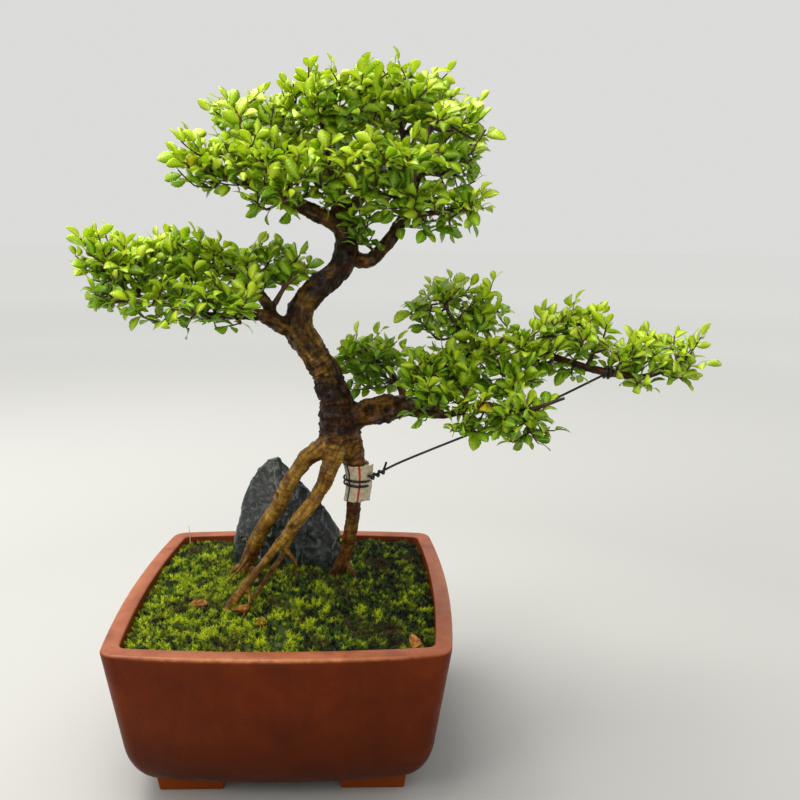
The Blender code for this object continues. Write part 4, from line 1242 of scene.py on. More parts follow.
@dataclass
class Stone:
    """Standing slab with a rounded crest, worn facets and chipped edges."""

    site: Site
    finish: SlateFinish = field(default_factory=SlateFinish)
    voxel: float = 1.3 * MM
    corners: tuple = ((-58, 42, -13), (-20, 31, -13), (32, 23, -13), (42, 34, -13), (40, 56, -13),
                      (-10, 74, -13),
                      (-52, 74, -13), (-62, 56, -13), (-56, 45, 24), (-18, 34, 44), (16, 30, 42),
                      (37, 31, 20),
                      (-61, 52, 14), (-55, 54, 40), (-48, 55, 67), (-38, 57, 87), (-28, 56, 96),
                      (-17, 55, 100),
                      (-8, 53, 93), (4, 50, 78), (25, 45, 58), (42, 40, 32), (-52, 74, 26), (-34, 74, 68),
                      (-16, 71, 84), (8, 66, 62), (34, 56, 28))

    def build(self) -> bpy.types.Object:
        """A hull, remeshed, softened and weathered."""
        stone = mesh_object("stone_slate", self.site.place(self.corners), [])
        shape = bmesh.new()
        shape.from_mesh(stone.data)
        bmesh.ops.convex_hull(shape, input=shape.verts)
        loose = [v for v in shape.verts if not v.link_faces]
        bmesh.ops.delete(shape, geom=loose, context="VERTS")
        bmesh.ops.recalc_face_normals(shape, faces=shape.faces)
        shape.to_mesh(stone.data)
        shape.free()
        step = stone.modifiers.new("skin", "REMESH")
        step.mode, step.voxel_size = "VOXEL", self.voxel
        rounding = stone.modifiers.new("soften", "SMOOTH")
        rounding.iterations, rounding.factor = 14, 0.5
        apply_modifiers(stone)
        points, normals = mesh_points(stone.data), mesh_normals(stone.data)
        broad = faces_at(points * (1, 1, 0.6), 26 * MM, 5)
        small = faces_at(points * (1, 1, 0.7), 10 * MM, 6)
        ledge = np.abs(noise_at(points, 9 * MM, 6))
        depth = 3.4 * broad + 1.5 * small + 0.8 * (0.3 - ledge) + 0.25 * noise_at(points, 3.5 * MM, 7) - 0.3
        points += normals * (np.clip(depth, -2.5, 0.6) * MM)[:, None]
        set_points(stone.data, points)
        # how far each point stands out; ridges and edges get the pale rubbed colour and a painted highlight
        bulge = ((points - spread(stone.data, points, 5)) * mesh_normals(stone.data)).sum(axis=1)
        set_attribute(stone.data, "edge", smoothstep(0.05 * MM, 0.35 * MM, bulge))
        stone.data.shade_smooth()
        stone.data.materials.append(self.finish.material())
        return stone


# ---- wood -------------------------------------------------------------------------------------------


class Part(Enum):
    """What a limb is, which sets its bark."""

    TRUNK = "trunk"
    ROOT = "root"
    DARK_ROOT = "dark_root"
    LIMB = "limb"


@dataclass(frozen=True)
class Limb:
    """One run of wood: knots of x, y, z and radius in drawn millimetres."""

    name: str
    part: Part
    knots: tuple[Knot, ...]


LIMBS = (
    Limb("trunk", Part.TRUNK, ((43, -1, 127, 16), (42, 0, 136, 18.5), (41, 0, 150, 17), (40, 0, 163, 15),
                               (36, 0, 174, 13.7),
                               (30, -2, 190, 12.7), (18, -4, 209, 12.2), (8, -5, 227, 13.4),
                               (10, -4, 239, 11.5),
                               (17, -2, 252, 11), (31, 0, 265, 10.4), (44, 2, 277, 10.4), (48, 4, 296, 10),
                               (44, 5, 319, 9))),
    Limb("root_left", Part.ROOT, ((42, -3, 132, 12), (28, -6, 125, 9.5), (12, -6, 111, 7.6), (0, -4, 93, 7.3),
                                  (-10, -1, 72, 7), (-27, 5, 44, 6.8), (-38, 12, 20, 6.8), (-42, 17, 2, 7.3),
                                  (-50, 24, -28, 6))),
    Limb("root_front", Part.ROOT, ((41, -8, 128, 11), (37, -14, 114, 8.6), (25, -25, 87, 6.4),
                                   (6, -33, 64, 6.2),
                                   (-2, -36, 54, 4.6), (-20, -43, 32, 3.6), (-34, -47, 15, 3.7),
                                   (-45, -51, 1, 4.2),
                                   (-58, -60, -20, 3.4))),
    Limb("root_fork", Part.ROOT, ((6, -33, 60, 4.2), (1, -33, 49, 3), (-5, -34, 36, 2.6), (-21, -37, 13, 2.4),
                                  (-30, -39, -2, 2.6), (-42, -42, -25, 1.8))),
    Limb("root_right", Part.DARK_ROOT, ((49, 0, 130, 13), (56, 0, 113, 9), (58, 2, 92, 6.8), (55, 5, 68, 6.6),
                                        (52, 9, 40, 6.4), (48, 11, 22, 6), (40, 14, 2, 6), (26, 20, -24, 5))),
    Limb("root_rear", Part.DARK_ROOT,
         ((44, 10, 121, 9), (51, 27, 103, 5.8), (56, 40, 80, 5), (55, 62, 49, 4.8),
                                       (51, 80, 16, 4.8), (47, 94, -6, 5), (38, 102, -30, 3))),
    Limb("rootlet_left", Part.ROOT,
         ((-38, 6, 22, 2.4), (-45, -2, 12, 1.5), (-52, -8, 6, 1.1), (-60, -16, -6, 0.8))),
    Limb("rootlet_middle", Part.ROOT,
         ((-6, -36, 48, 3.4), (2, -32, 36, 2.0), (6, -26, 24, 1.5), (2, -20, 10, 1.2),
                                       (4, -14, -8, 1))),
    Limb("rootlet_front", Part.ROOT,
         ((-34, -46, 15, 3), (-30, -54, 8, 1.6), (-31, -62, 2, 1.3), (-36, -70, -8, 0.9))),
    Limb("rootlet_foot", Part.ROOT, ((-40, 10, 12, 4.5), (-32, -2, 5, 2.6), (-26, -10, -6, 1.8))),
    Limb("rootlet_heel", Part.ROOT, ((-40, 14, 8, 5), (-52, 16, 4, 3.2), (-62, 14, -6, 2.2))),
    Limb("rootlet_right", Part.DARK_ROOT, ((46, 12, 16, 4), (54, 4, 6, 2.4), (62, -4, -6, 1.6))),
    Limb("left_low", Part.LIMB, ((8, -5, 227, 9), (-4, -8, 228, 8), (-14, -12, 234, 7), (-22, -18, 238, 5.4),
                                 (-36, -26, 238, 3.7), (-64, -36, 240, 2.5), (-91, -40, 252, 2),
                                 (-118, -42, 255, 1.7),
                                 (-142, -40, 272, 1.2))),
    Limb("left_high", Part.LIMB, ((-12, -10, 235, 5.8), (-17, -8, 246, 5), (-26, -2, 255, 5),
                                  (-35, 6, 261, 4.6),
                                  (-55, 18, 270, 2.7), (-95, 28, 278, 1.7))),
    Limb("left_spur", Part.LIMB, ((-13, -8, 243, 3), (-2, -10, 261, 1.7), (7, -12, 268, 1.2))),
    Limb("right", Part.LIMB, ((42, 0, 150, 12), (58, -2, 151, 12), (82, -4, 158, 12), (94, -2, 160, 9.8),
                              (107, 2, 160, 8), (122, 8, 164, 6.5), (136, 14, 176, 5.7), (145, 18, 191, 5.3),
                              (155, 20, 203, 5.2), (165, 20, 204, 4.4), (180, 14, 214, 3.7),
                              (197, 8, 216, 3.5),
                              (219, 0, 206, 3.4), (237, -6, 200, 3.4), (261, -12, 194, 3.7),
                              (281, -16, 191, 3.4),
                              (300, -19, 190, 2.7), (338, -22, 206, 1.3))),
    Limb("right_top", Part.LIMB, ((153, 20, 202, 5), (147, 24, 220, 3.2), (133, 24, 245, 1.7))),
    Limb("right_low", Part.LIMB, ((94, -3, 160, 7.5), (114, -22, 158, 4.4), (134, -36, 160, 3.3),
                                  (158, -50, 171, 2.8),
                                  (188, -61, 168, 2.4), (221, -67, 180, 1.2))),
    Limb("right_back", Part.LIMB, ((107, 2, 160, 6.4), (98, 20, 167, 4), (93, 36, 175, 3.2),
                                   (82, 50, 186, 2.4),
                                   (49, 65, 203, 1.4))),
    Limb("crown_left", Part.LIMB, ((46, 4, 305, 8.3), (38, 2, 313, 7.5), (19, -3, 322, 6.9),
                                   (1, -10, 330, 5.2),
                                   (-23, -20, 338, 3.2), (-57, -30, 350, 1.6))),
    Limb("crown_right", Part.LIMB, ((46, 6, 289, 8), (55, 6, 284, 6.8), (65, 4, 282, 6.3), (75, 2, 289, 6.3),
                                    (91, -6, 311, 5.3), (101, -12, 334, 3.6), (112, -14, 372, 2.4),
                                    (115, -14, 393, 1.6))),
    Limb("crown_right_low", Part.LIMB, ((94, -9, 320, 3.4), (123, -26, 322, 2), (150, -36, 327, 1.2))),
    Limb("crown_centre", Part.LIMB,
         ((44, 5, 317, 8.4), (40, 8, 331, 6.6), (35, 12, 347, 5), (31, 14, 364, 3.7),
                                     (27, 16, 399, 2.1))),
    Limb("crown_mid_right", Part.LIMB,
         ((46, 6, 317, 7), (58, 14, 332, 5.4), (71, 24, 344, 4.2), (85, 32, 356, 3.4),
                                        (96, 38, 375, 2.6), (90, 40, 408, 1.7), (84, 40, 435, 1.3))),
)


@dataclass(frozen=True)
class Skeleton:
    """Every limb sampled closely: places, radii, directions and where each sample is on its limb."""

    places: np.ndarray
    radii: np.ndarray
    tangents: np.ndarray
    across: np.ndarray
    over: np.ndarray
    along: np.ndarray
    limb: np.ndarray

    @classmethod
    def of(cls, limbs: Sequence[Limb], step: float = 2.0) -> Skeleton:
        """Sample the limbs, in drawn millimetres.

        Args:
            limbs: the limbs.
            step: distance between samples.

        Returns:
            The samples.
        """
        rows: list[list[np.ndarray]] = [[] for _ in range(7)]
        for number, limb in enumerate(limbs):
            path = smooth_path(limb.knots, step)
            tangents, across, over = frames_along(path[:, :3])
            lengths = np.r_[0, np.cumsum(np.linalg.norm(np.diff(path[:, :3], axis=0), axis=1))]
            for row, value in zip(rows, (path[:, :3], path[:, 3], tangents, across, over, lengths,
                                         np.full(len(path), number))):
                row.append(value)
        return cls(*(np.concatenate(row) for row in rows))

    def nearest(self, points: np.ndarray) -> np.ndarray:
        """The sample whose skin is nearest to each point.

        Args:
            points: drawn places.

        Returns:
            A sample number for each point.
        """
        found = np.empty(len(points), int)
        for start in range(0, len(points), 2000):
            block = points[start:start + 2000]
            gap = np.linalg.norm(block[:, None, :] - self.places[None], axis=2) - self.radii
            found[start:start + 2000] = gap.argmin(axis=1)
        return found


@dataclass(frozen=True)
class Scar:
    """A knot or a healed cut: its place, its radius, how far it stands out and how deep its middle is."""

    place: tuple[float, float, float]
    radius: float
    rise: float
    depth: float


# where limbs flow into one another: x, y, z and how far the blend reaches
FORKS = ((42, -4, 122, 20), (60, -2, 150, 16), (2, -6, 230, 14), (44, 5, 300, 17), (100, 0, 160, 12),
         (2, -34, 58, 8),
         (154, 20, 203, 7))


SCARS = (
    Scar((-13, -7, 81), 4.2, 1.2, 3.4),
    Scar((68, -17, 159), 7.5, 3.2, 6.5),
    Scar((28, -14, 186), 4.0, 1.1, 0.8),
    Scar((24, -15, 205), 5.0, 0.9, 1.0),
    Scar((-2, -14, 224), 4.5, 1.0, 1.2),
    Scar((39, -15, 131), 6.0, 1.2, 1.5),
    Scar((52, -5, 290), 4.5, 1.2, 0.9),
    Scar((60, -4, 281), 5.0, 1.1, 1.0),
    Scar((4, -39, 64), 4.0, 1.0, 0.6),
    Scar((-36, 6, 12), 5.0, 1.2, 0.8),
    Scar((84, -15, 160), 4.5, 1.2, 0.8),
    Scar((45, -10, 306), 5.0, 1.0, 0.9),
)


@dataclass
class Wood:
    """Roots, trunk and limbs as one skin with its bark in relief."""

    site: Site
    skeleton: Skeleton
    finish: BarkFinish = field(default_factory=BarkFinish)
    voxel: float = 1.1 * MM
    thinnest: float = 1.7
    thinnest_root: float = 1.0

    def skin(self) -> bpy.types.Object:
        """Limbs as bars, melted into one skin."""
        parts = []
        for limb in LIMBS:
            path = smooth_path(limb.knots, 3.0)
            rooted = limb.part in (Part.ROOT, Part.DARK_ROOT)
            thick = path[path[:, 3] >= (self.thinnest_root if rooted else self.thinnest)]
            thick[:, 3] = np.maximum(thick[:, 3], 1.3)
            wobble = np.c_[noise_at(thick[:, :3], 14, 8), noise_at(thick[:, :3], 14, 9),
                           noise_at(thick[:, :3], 14, 10)]
            middle = thick[:, :3] + wobble * (0.09 * thick[:, 3:4])
            sides = 20 if thick[:, 3].max() > 7 else 12
            parts.append(tube(self.site.place(middle), thick[:, 3] * MM, sides))
        wood = join_meshes("tree_wood", parts)
        step = wood.modifiers.new("skin", "REMESH")
        step.mode, step.voxel_size = "VOXEL", self.voxel
        soft = wood.modifiers.new("soften", "SMOOTH")
        soft.iterations, soft.factor = 4, 0.5
        apply_modifiers(wood)
        points = mesh_points(wood.data)
        melted = sum(np.exp(-(np.linalg.norm(points - self.site.place(fork[:3]),
                                             axis=1) / (fork[3] * MM)) ** 2)
                     for fork in FORKS)
        group = wood.vertex_groups.new(name="forks")
        for index in np.nonzero(melted > 0.05)[0]:
            group.add([int(index)], float(min(1.0, melted[index])), "REPLACE")
        blend = wood.modifiers.new("blend", "SMOOTH")
        blend.iterations, blend.factor, blend.vertex_group = 24, 0.6, "forks"
        return apply_modifiers(wood)

    def relief(self, points: np.ndarray, grain: np.ndarray, radii: np.ndarray, kinds: dict[Part, np.ndarray]
               ) -> tuple[np.ndarray, np.ndarray]:
        """Height of the bark over the smooth skin, and how deep its creases are.

        Args:
            points: places in drawn millimetres.
            grain: distance along the limb and two coordinates round it, in millimetres.
            radii: limb radius at each point.
            kinds: how much each point belongs to each part.

        Returns:
            Height in millimetres, and a crease depth from 0 to 1 that the finish paints as shade.
        """
        root = kinds[Part.ROOT] + kinds[Part.DARK_ROOT]
        low_trunk = kinds[Part.TRUNK] * smoothstep(235, 150, points[:, 2])
        rings = 1 - np.abs(noise_at(grain * (1, 0.15, 0.15), 4.2, 11)) * 2.6
        crossing = 1 - np.abs(noise_at(grain * (1, 0.25, 0.25), 2.4, 12)) * 2.2
        furrows = 1 - np.abs(noise_at(grain * (0.14, 1, 1), 4.5, 19)) * 2.4
        lumps = noise_at(points, 13, 13) + 0.6 * noise_at(points, 6, 18)
        warts = np.clip(noise_at(points, 5, 14) - 0.25, 0, 1)
        plates = np.abs(noise_at(grain * (0.45, 1, 1), 5, 15))
        ringed = root * 0.2 + low_trunk * 1.4 + 0.25
        zone = 0.5 + 0.5 * noise_at(points, 18, 16)
        crease = (np.clip(rings, 0, 1) ** 2 * ringed * (0.2 + 1.2 * zone)
                  + np.clip(crossing, 0, 1) ** 3 * (0.25 + 0.5 * low_trunk))
        crease += np.clip(furrows, 0, 1) ** 3 * (0.5 * root + 0.35 * (1 - root)) * (1 - zone * 0.5)
        size = np.minimum(radii / 8, 1.5)
        height = lumps * 0.95 * size + warts * 2.0 * size - crease * np.minimum(size + 0.25, 1.2)
        height -= (1 - root) * np.clip(0.22 - plates, 0, 1) * 3.0 * size
        depth = crease / 0.9 + (1 - root) * np.clip(0.18 - plates, 0, 1) * 4
        for scar in SCARS:
            away = np.linalg.norm(points - np.array(scar.place), axis=1)
            height += scar.rise * np.exp(-((away - scar.radius) / (0.4 * scar.radius)) ** 2)
            hollow = np.exp(-(away / (0.6 * scar.radius)) ** 2)
            height -= scar.depth * hollow
            depth += 0.9 * hollow
        return height, np.clip(depth, 0, 1)

    def warmth(self, points: np.ndarray, kinds: dict[Part, np.ndarray], normals: np.ndarray
               ) -> tuple[np.ndarray, np.ndarray]:
        """How golden and how ruddy the bark is at each point, with painted light on the faces turned to the
        light.

        Args:
            points: drawn places.
            kinds: the part at each point.
            normals: the normals there.

        Returns:
            Golden and ruddy, from 0 to 1 for each point.
        """
        z = points[:, 2]
        # painted light: bark lighter on faces turned up, to the front and to the right, and darker on the
        # undersides
        lit = smoothstep(-0.6, 0.8, normals @ np.array([0.5, -0.62, 0.6]))
        golden_patch = smoothstep(166, 192, z) * smoothstep(262, 236, z)
        collar = smoothstep(141, 131, z) * smoothstep(92, 108, z)
        trunk = 0.12 + 0.42 * golden_patch * lit + 0.42 * collar
        table = {Part.TRUNK: trunk, Part.ROOT: 0.38 + 0.36 * lit,
                 Part.DARK_ROOT: 0.24 + 0.16 * lit + 0.34 * collar,
                 Part.LIMB: 0.12 + 0.1 * lit}
        soot = kinds[Part.TRUNK] * smoothstep(0.05, 0.3,
                                              noise_at(points * (1, 1, 0.6), 13, 31)) * (1 - collar)
        warm = sum(kinds[part] * value for part, value in table.items()) - 0.32 * soot
        warm += 0.24 * noise_at(points, 22, 17) + 0.16 * noise_at(points, 8, 32)
        ruddy = 0.2 + 0.5 * kinds[Part.TRUNK] * smoothstep(178, 150, z) * smoothstep(122, 138, z)
        ruddy = ruddy + 0.45 * kinds[Part.DARK_ROOT] * (1 - 0.6 * collar)
        ruddy = ruddy + 0.5 * kinds[Part.ROOT] * smoothstep(45, 10, z) + 0.25 * collar
        away = np.array([np.linalg.norm(points - np.array(scar.place), axis=1) / scar.radius
                         for scar in SCARS])
        lips = np.exp(-((away - 1.0) / 0.35) ** 2).max(axis=0)
        warm += 0.3 * lips
        ruddy = ruddy + 0.5 * smoothstep(0.1, 0.45, noise_at(points, 15, 33)) - 0.1 + 0.35 * lips
        return warm, np.clip(ruddy, 0, 1)

    def build(self) -> bpy.types.Object:
        """The finished wood."""
        wood = self.skin()
        zero = np.array([self.site.axis_x, self.site.axis_y, self.site.crown])
        world, normals = mesh_points(wood.data), mesh_normals(wood.data)
        points = (world - zero) / MM
        near = self.skeleton.nearest(points)
        offset = points - self.skeleton.places[near]
        is_part = np.array([[limb.part is part for part in Part] for limb in LIMBS], float)
        kinds = dict(zip(Part, spread(wood.data, is_part[self.skeleton.limb[near].astype(int)], 150).T))
        along = self.skeleton.along[near] + (offset * self.skeleton.tangents[near]).sum(axis=1)
        grain = np.c_[along + 300 * self.skeleton.limb[near],
                      (offset * self.skeleton.across[near]).sum(axis=1),
                      (offset * self.skeleton.over[near]).sum(axis=1)]
        height, pit = self.relief(points, grain, self.skeleton.radii[near], kinds)
        warm, ruddy = self.warmth(points, kinds, normals)
        set_points(wood.data, world + normals * (height * MM)[:, None])
        set_attribute(wood.data, "warm", warm)
        set_attribute(wood.data, "ruddy", ruddy)
        # painted shade in the creases, stored for the finish
        set_attribute(wood.data, "pit", pit)
        set_attribute(wood.data, "grain", grain * MM, "FLOAT_VECTOR")
        wood.data.shade_smooth()
        wood.data.materials.append(self.finish.material())
        return wood


# ---- twigs and leaves -------------------------------------------------------------------------------


@dataclass(frozen=True)
class Pad:
    """A mass of leaves: its CAD name, number of shoots and sun, and millimetres kept free above and below."""

    name: str
    shoots: int
    sun: float
    above: float = 0.0
    below: float = 0.0


PADS = (
    Pad("crown_tip_left", 27, 0.75, 3, 8), Pad("crown_left", 44, 0.8, 0, -4), Pad("crown_top", 44, 0.8, 6, 0),
    Pad("crown_top_right", 40, 0.75), Pad("crown_right", 35, 0.55), Pad("crown_front", 37, 0.65, 0, -6),
    Pad("crown_front_right", 34, 0.6, 0, -6), Pad("crown_low_right", 24, 0.45),
        Pad("crown_back", 42, 0.5, 0, -4),
    Pad("crown_sprig", 7, 0.15), Pad("left_tip", 30, 0.6, 0, 4), Pad("left_middle", 38, 0.5),
    Pad("left_inner", 27, 0.42, 10, 0), Pad("left_front", 32, 0.45), Pad("right_inner", 30, 0.25, 6, 0),
    Pad("right_top", 34, 0.42), Pad("right_middle", 40, 0.4), Pad("right_low", 32, 0.35),
        Pad("right_outer", 38, 0.62),
    Pad("right_tip", 28, 0.72, 10, 0), Pad("right_front", 24, 0.35),
)


@dataclass
class Shoot:
    """A twig with its path in metres, its parent twig's node and the pad it belongs to."""

    path: np.ndarray
    parent: int
    pad: str
    leafy_from: float
    first_node: int = 0


@dataclass
class Twigs:
    """Twigs grown from the limbs to tips spread through the leaf pads."""

    site: Site
    skeleton: Skeleton
    seed: int = 7
    spacing: float = 5 * MM
    finish: TwigFinish = field(default_factory=TwigFinish)
    tip_radius: float = 0.6 * MM
    thickest: float = 2.9 * MM
    leaf_reach: tuple[float, float, float] = (12.0, 10.0, 13.0)
    leaf_drop: tuple[float, float, float] = (12.0, 10.0, 4.0)
    shoots: list[Shoot] = field(default_factory=list)

    def __post_init__(self) -> None:
        """Start the node lists from the limbs that bear leaves."""
        self.random = np.random.default_rng(self.seed)
        bearing = np.array([LIMBS[int(i)].part is Part.LIMB for i in self.skeleton.limb])
        slim = bearing & (self.skeleton.radii < 9)
        self.nodes = list(self.site.place(self.skeleton.places[slim]))
        self.directions = list(self.skeleton.tangents[slim])
        self.parents = [-1] * len(self.nodes)
        self.depths = [0.0] * len(self.nodes)
        self.limb_count = len(self.nodes)
        self.limb_radii = self.skeleton.radii[slim] * MM

    def joined_sides(self, pad: Pad) -> np.ndarray:
        """For each axis, whether another pad lies beyond the pad's low side and beyond its high side.

        Args:
            pad: the pad.

        Returns:
            Three rows of two, 1 where a pad lies beyond.
        """
        boxes = {other.name: np.array(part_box("foliage_" + other.name)) for other in PADS}
        low, high = boxes.pop(pad.name)
        joined = np.zeros((2, 3), bool)
        for end, side in enumerate((-1, 1)):
            for axis in (0, 1):
                probe = (low + high) / 2
                probe[axis] += side * ((high - low)[axis] / 2 + 8 * MM)
                joined[end, axis] = any((probe > a - 3 * MM).all() and (probe < b + 3 * MM).all()
                                        for a, b in boxes.values())
        return joined

    def tips(self, pad: Pad) -> np.ndarray:
        """Spread shoot tips through a pad, more of them near its outside and its top.

        Args:
            pad: the pad.

        Returns:
            A row for each tip.
        """
        low, high = (np.array(v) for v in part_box("foliage_" + pad.name))
        middle, half = (low + high) / 2, (high - low) / 2
        joined = self.joined_sides(pad)
        chosen: list[np.ndarray] = []
        pool = []
        for _ in range(pad.shoots * 24):
            way = self.random.normal(size=3)
            way /= np.linalg.norm(way)
            if way[2] < -0.55 and self.random.random() < 0.7:
                way[2] *= -1
            way /= (np.abs(way) ** 3).sum() ** (1 / 3)
            reach = self.random.uniform(0.25, 1.0) ** 0.6
            keep = np.array(self.leaf_reach if way[2] > 0 else self.leaf_drop)
            keep[np.where(way > 0, joined[1], joined[0])] = 2.0
            room = half - keep * MM
            room[2] -= (pad.above if way[2] > 0 else pad.below) * MM
            pool.append(middle + way * reach * np.maximum(room, 0.45 * half))
        for _ in range(pad.shoots):
            best, best_gap = None, -1.0
            for index in self.random.integers(0, len(pool), 14):
                spot = pool[index]
                gap = min((np.linalg.norm(spot - c) for c in chosen), default=1.0)
                if gap > best_gap:
                    best, best_gap = spot, gap
            chosen.append(best)
        return np.array(chosen)

    def attach(self, tip: np.ndarray, pad: Pad) -> None:
        """Grow one shoot from the best node so far to a tip.

        Args:
            tip: where the shoot ends.
            pad: the pad it belongs to.
        """
        nodes = np.array(self.nodes)
        ways = np.array(self.directions)
        line = tip - nodes
        far = np.linalg.norm(line, axis=1) + 1e-9
        bend = 1 - (line * ways).sum(axis=1) / far
        rise = np.clip(-line[:, 2] / far, 0, 1)
        cost = far * (1 + 0.22 * bend + 0.35 * rise) + 0.22 * np.array(self.depths)
        cost[far < 6 * MM] += 0.02
        start = int(cost.argmin())
        away, length = line[start], far[start]
        leaving = ways[start] * 0.55 + away / length + (0, 0, 0.18)
        arriving = away / length * (1, 1, 0.6) + (0, 0, 0.2) + self.random.normal(0, 0.22, 3)
        steps = max(3, int(length / self.spacing))
        t = np.linspace(0, 1, steps + 1)[:, None]
        pull = length * 0.85
        path = ((2 * t ** 3 - 3 * t ** 2 + 1) * nodes[start] + (t ** 3 - 2 * t ** 2 + t) * leaving * pull
                + (-2 * t ** 3 + 3 * t ** 2) * tip + (t ** 3 - t ** 2) * arriving * pull * 0.7)
        path[1:-1] += self.random.normal(0, 0.7 * MM, (steps - 1, 3))
        self.record(path, start, pad.name, leafy_from=max(0.0, length - self.random.uniform(30, 62) * MM))

    def record(self, path: np.ndarray, start: int, pad: str, leafy_from: float) -> None:
        """Keep a shoot and add its nodes to those that others may grow from.

        Args:
            path: its points.
            start: the node it grows from.
            pad: name of the pad it belongs to.
            leafy_from: how far along it the leaves begin.
        """
        shoot = Shoot(path, start, pad, leafy_from, len(self.nodes))
        parent, depth = start, self.depths[start]
        for before, here in zip(path, path[1:]):
            step = here - before
            length = np.linalg.norm(step)
            depth += length
            self.nodes.append(here)
            self.directions.append(step / (length + 1e-9))
            self.parents.append(parent)
            self.depths.append(depth)
            parent = len(self.nodes) - 1
        self.shoots.append(shoot)

    def side_shoots(self) -> None:
        """Short spurs near the ends of the shoots."""
        for shoot in list(self.shoots):
            count = len(shoot.path) - 1
            for _ in range(2 if count > 4 else 1):
                at = int(self.random.integers(max(1, count // 3), count + 1))
                base = shoot.path[at]
                way = shoot.path[at] - shoot.path[at - 1]
                way /= np.linalg.norm(way) + 1e-9
                side = np.cross(way, (0, 0, 1))
                side /= np.linalg.norm(side) + 1e-9
                turn = self.random.choice((-1, 1))
                heading = (way * 0.5 + side * turn * self.random.uniform(0.5, 1.0)
                           + (0, 0, self.random.uniform(0, 0.6)))
                heading /= np.linalg.norm(heading)
                length = self.random.uniform(9, 20) * MM
                t = np.linspace(0, 1, 4)[:, None]
                path = base + heading * length * t + np.array((0, 0, 1)) * (0.15 * length) * t ** 2
                self.record(path, shoot.first_node + at - 1, shoot.pad, leafy_from=0.0)

    def stubs(self, count: int) -> list[tuple[np.ndarray, float]]:
        """Bare cut twigs that stick up out of the crown, no two close together.

        Args:
            count: how many.

        Returns:
            The path and radius of each.
        """
        crown = sorted((s for s in self.shoots if s.pad.startswith("crown")),
                       key=lambda s: s.path[-1][1] - 0.5 * s.path[-1][2])
        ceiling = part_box("foliage_crown_top_right")[1].z
        made: list[tuple[np.ndarray, float]] = []
        for index in self.random.permutation(len(crown) // 2):
            base = crown[index].path[-2]
            if any(np.linalg.norm(base - path[0]) < 20 * MM for path, _ in made):
                continue
            way = np.array([self.random.normal(0.1, 0.4), self.random.normal(-0.3, 0.3), 1.0])
            way /= np.linalg.norm(way)
            length = min(self.random.uniform(10, 21) * MM, max(6 * MM, (ceiling - base[2]) / way[2]))
            made.append((np.linspace(base, base + way * length, 4), self.random.uniform(0.7, 0.95) * MM))
            if len(made) == count:
                break
        return made

    def thickness(self) -> np.ndarray:
        """Radius of each node by the pipe rule: a twig is as thick as what it feeds."""
        power = 2.05
        load = np.zeros(len(self.nodes))
        for index in range(len(self.nodes) - 1, self.limb_count - 1, -1):
            load[index] = max(load[index], self.tip_radius ** power)
            parent = self.parents[index]
            if parent >= self.limb_count:
                load[parent] += load[index]
        radii = np.clip(load, self.tip_radius ** power, None) ** (1 / power)
        return np.minimum(radii, self.thickest)

    def grow(self) -> None:
        """Grow every pad's shoots, from the nearest tip outwards."""
        limb_nodes = np.array(self.nodes[:self.limb_count])
        wanted = [(tip, pad) for pad in PADS for tip in self.tips(pad)]
        reach = [np.linalg.norm(limb_nodes - tip, axis=1).min() for tip, _ in wanted]
        for index in np.argsort(reach):
            self.attach(*wanted[index])
        self.side_shoots()

    def skin_tree(self) -> bpy.types.NodeTree:
        """Geometry Nodes that skin curves by their own radius."""
        tree = bpy.data.node_groups.new("twig_skin", "GeometryNodeTree")
        socket = tree.interface.new_socket
        socket("Paths", in_out="INPUT", socket_type="NodeSocketGeometry")
        socket("Sides", in_out="INPUT", socket_type="NodeSocketInt")
        socket("Finish", in_out="INPUT", socket_type="NodeSocketMaterial")
        socket("Twigs", in_out="OUTPUT", socket_type="NodeSocketGeometry")
        given = add_node(tree, "NodeGroupInput").outputs
        wheel = add_node(tree, "GeometryNodeCurvePrimitiveCircle",
                         {"Resolution": given["Sides"], "Radius": 1.0})
        radius = add_node(tree, "GeometryNodeInputRadius")
        skinned = add_node(tree, "GeometryNodeCurveToMesh",
                           {"Curve": given["Paths"], "Profile Curve": wheel.outputs[0],
                            "Scale": radius.outputs[0],
                            "Fill Caps": True})
        real = add_node(tree, "GeometryNodeRealizeInstances", {0: skinned.outputs[0]})
        dressed = add_node(tree, "GeometryNodeSetMaterial",
                           {"Geometry": real.outputs[0], "Material": given["Finish"]})
        add_node(tree, "NodeGroupOutput", {0: dressed.outputs[0]})
        return tree

    def build(self) -> bpy.types.Object:
        """Every twig, and the thin ends of the limbs, as one piece."""
        radii = self.thickness()
        runs: list[tuple[np.ndarray, np.ndarray]] = []
        for shoot in self.shoots:
            own = radii[shoot.first_node:shoot.first_node + len(shoot.path) - 1]
            runs.append((shoot.path, np.r_[own[0], own]))
        for limb in (limb for limb in LIMBS if limb.part is Part.LIMB):
            path = smooth_path(limb.knots, 4.0)
            thin = path[path[:, 3] < 3.0]
            if len(thin) > 2:
                runs.append((self.site.place(thin), thin[:, 3] * MM))
        for path, radius in self.stubs(18):
            runs.append((path, np.full(len(path), radius)))
        curve = bpy.data.curves.new("twig_paths", "CURVE")
        curve.dimensions = "3D"
        for path, widths in runs:
            line = curve.splines.new("POLY")
            line.points.add(len(path) - 1)
            line.points.foreach_set("co", np.c_[path, np.ones(len(path))].ravel())
            line.points.foreach_set("radius", widths)
        holder = bpy.data.objects.new("twig_paths", curve)
        bpy.context.scene.collection.objects.link(holder)
        return grown_copy("tree_twigs", holder, self.skin_tree(),
                          {"Sides": 6, "Finish": self.finish.material()})


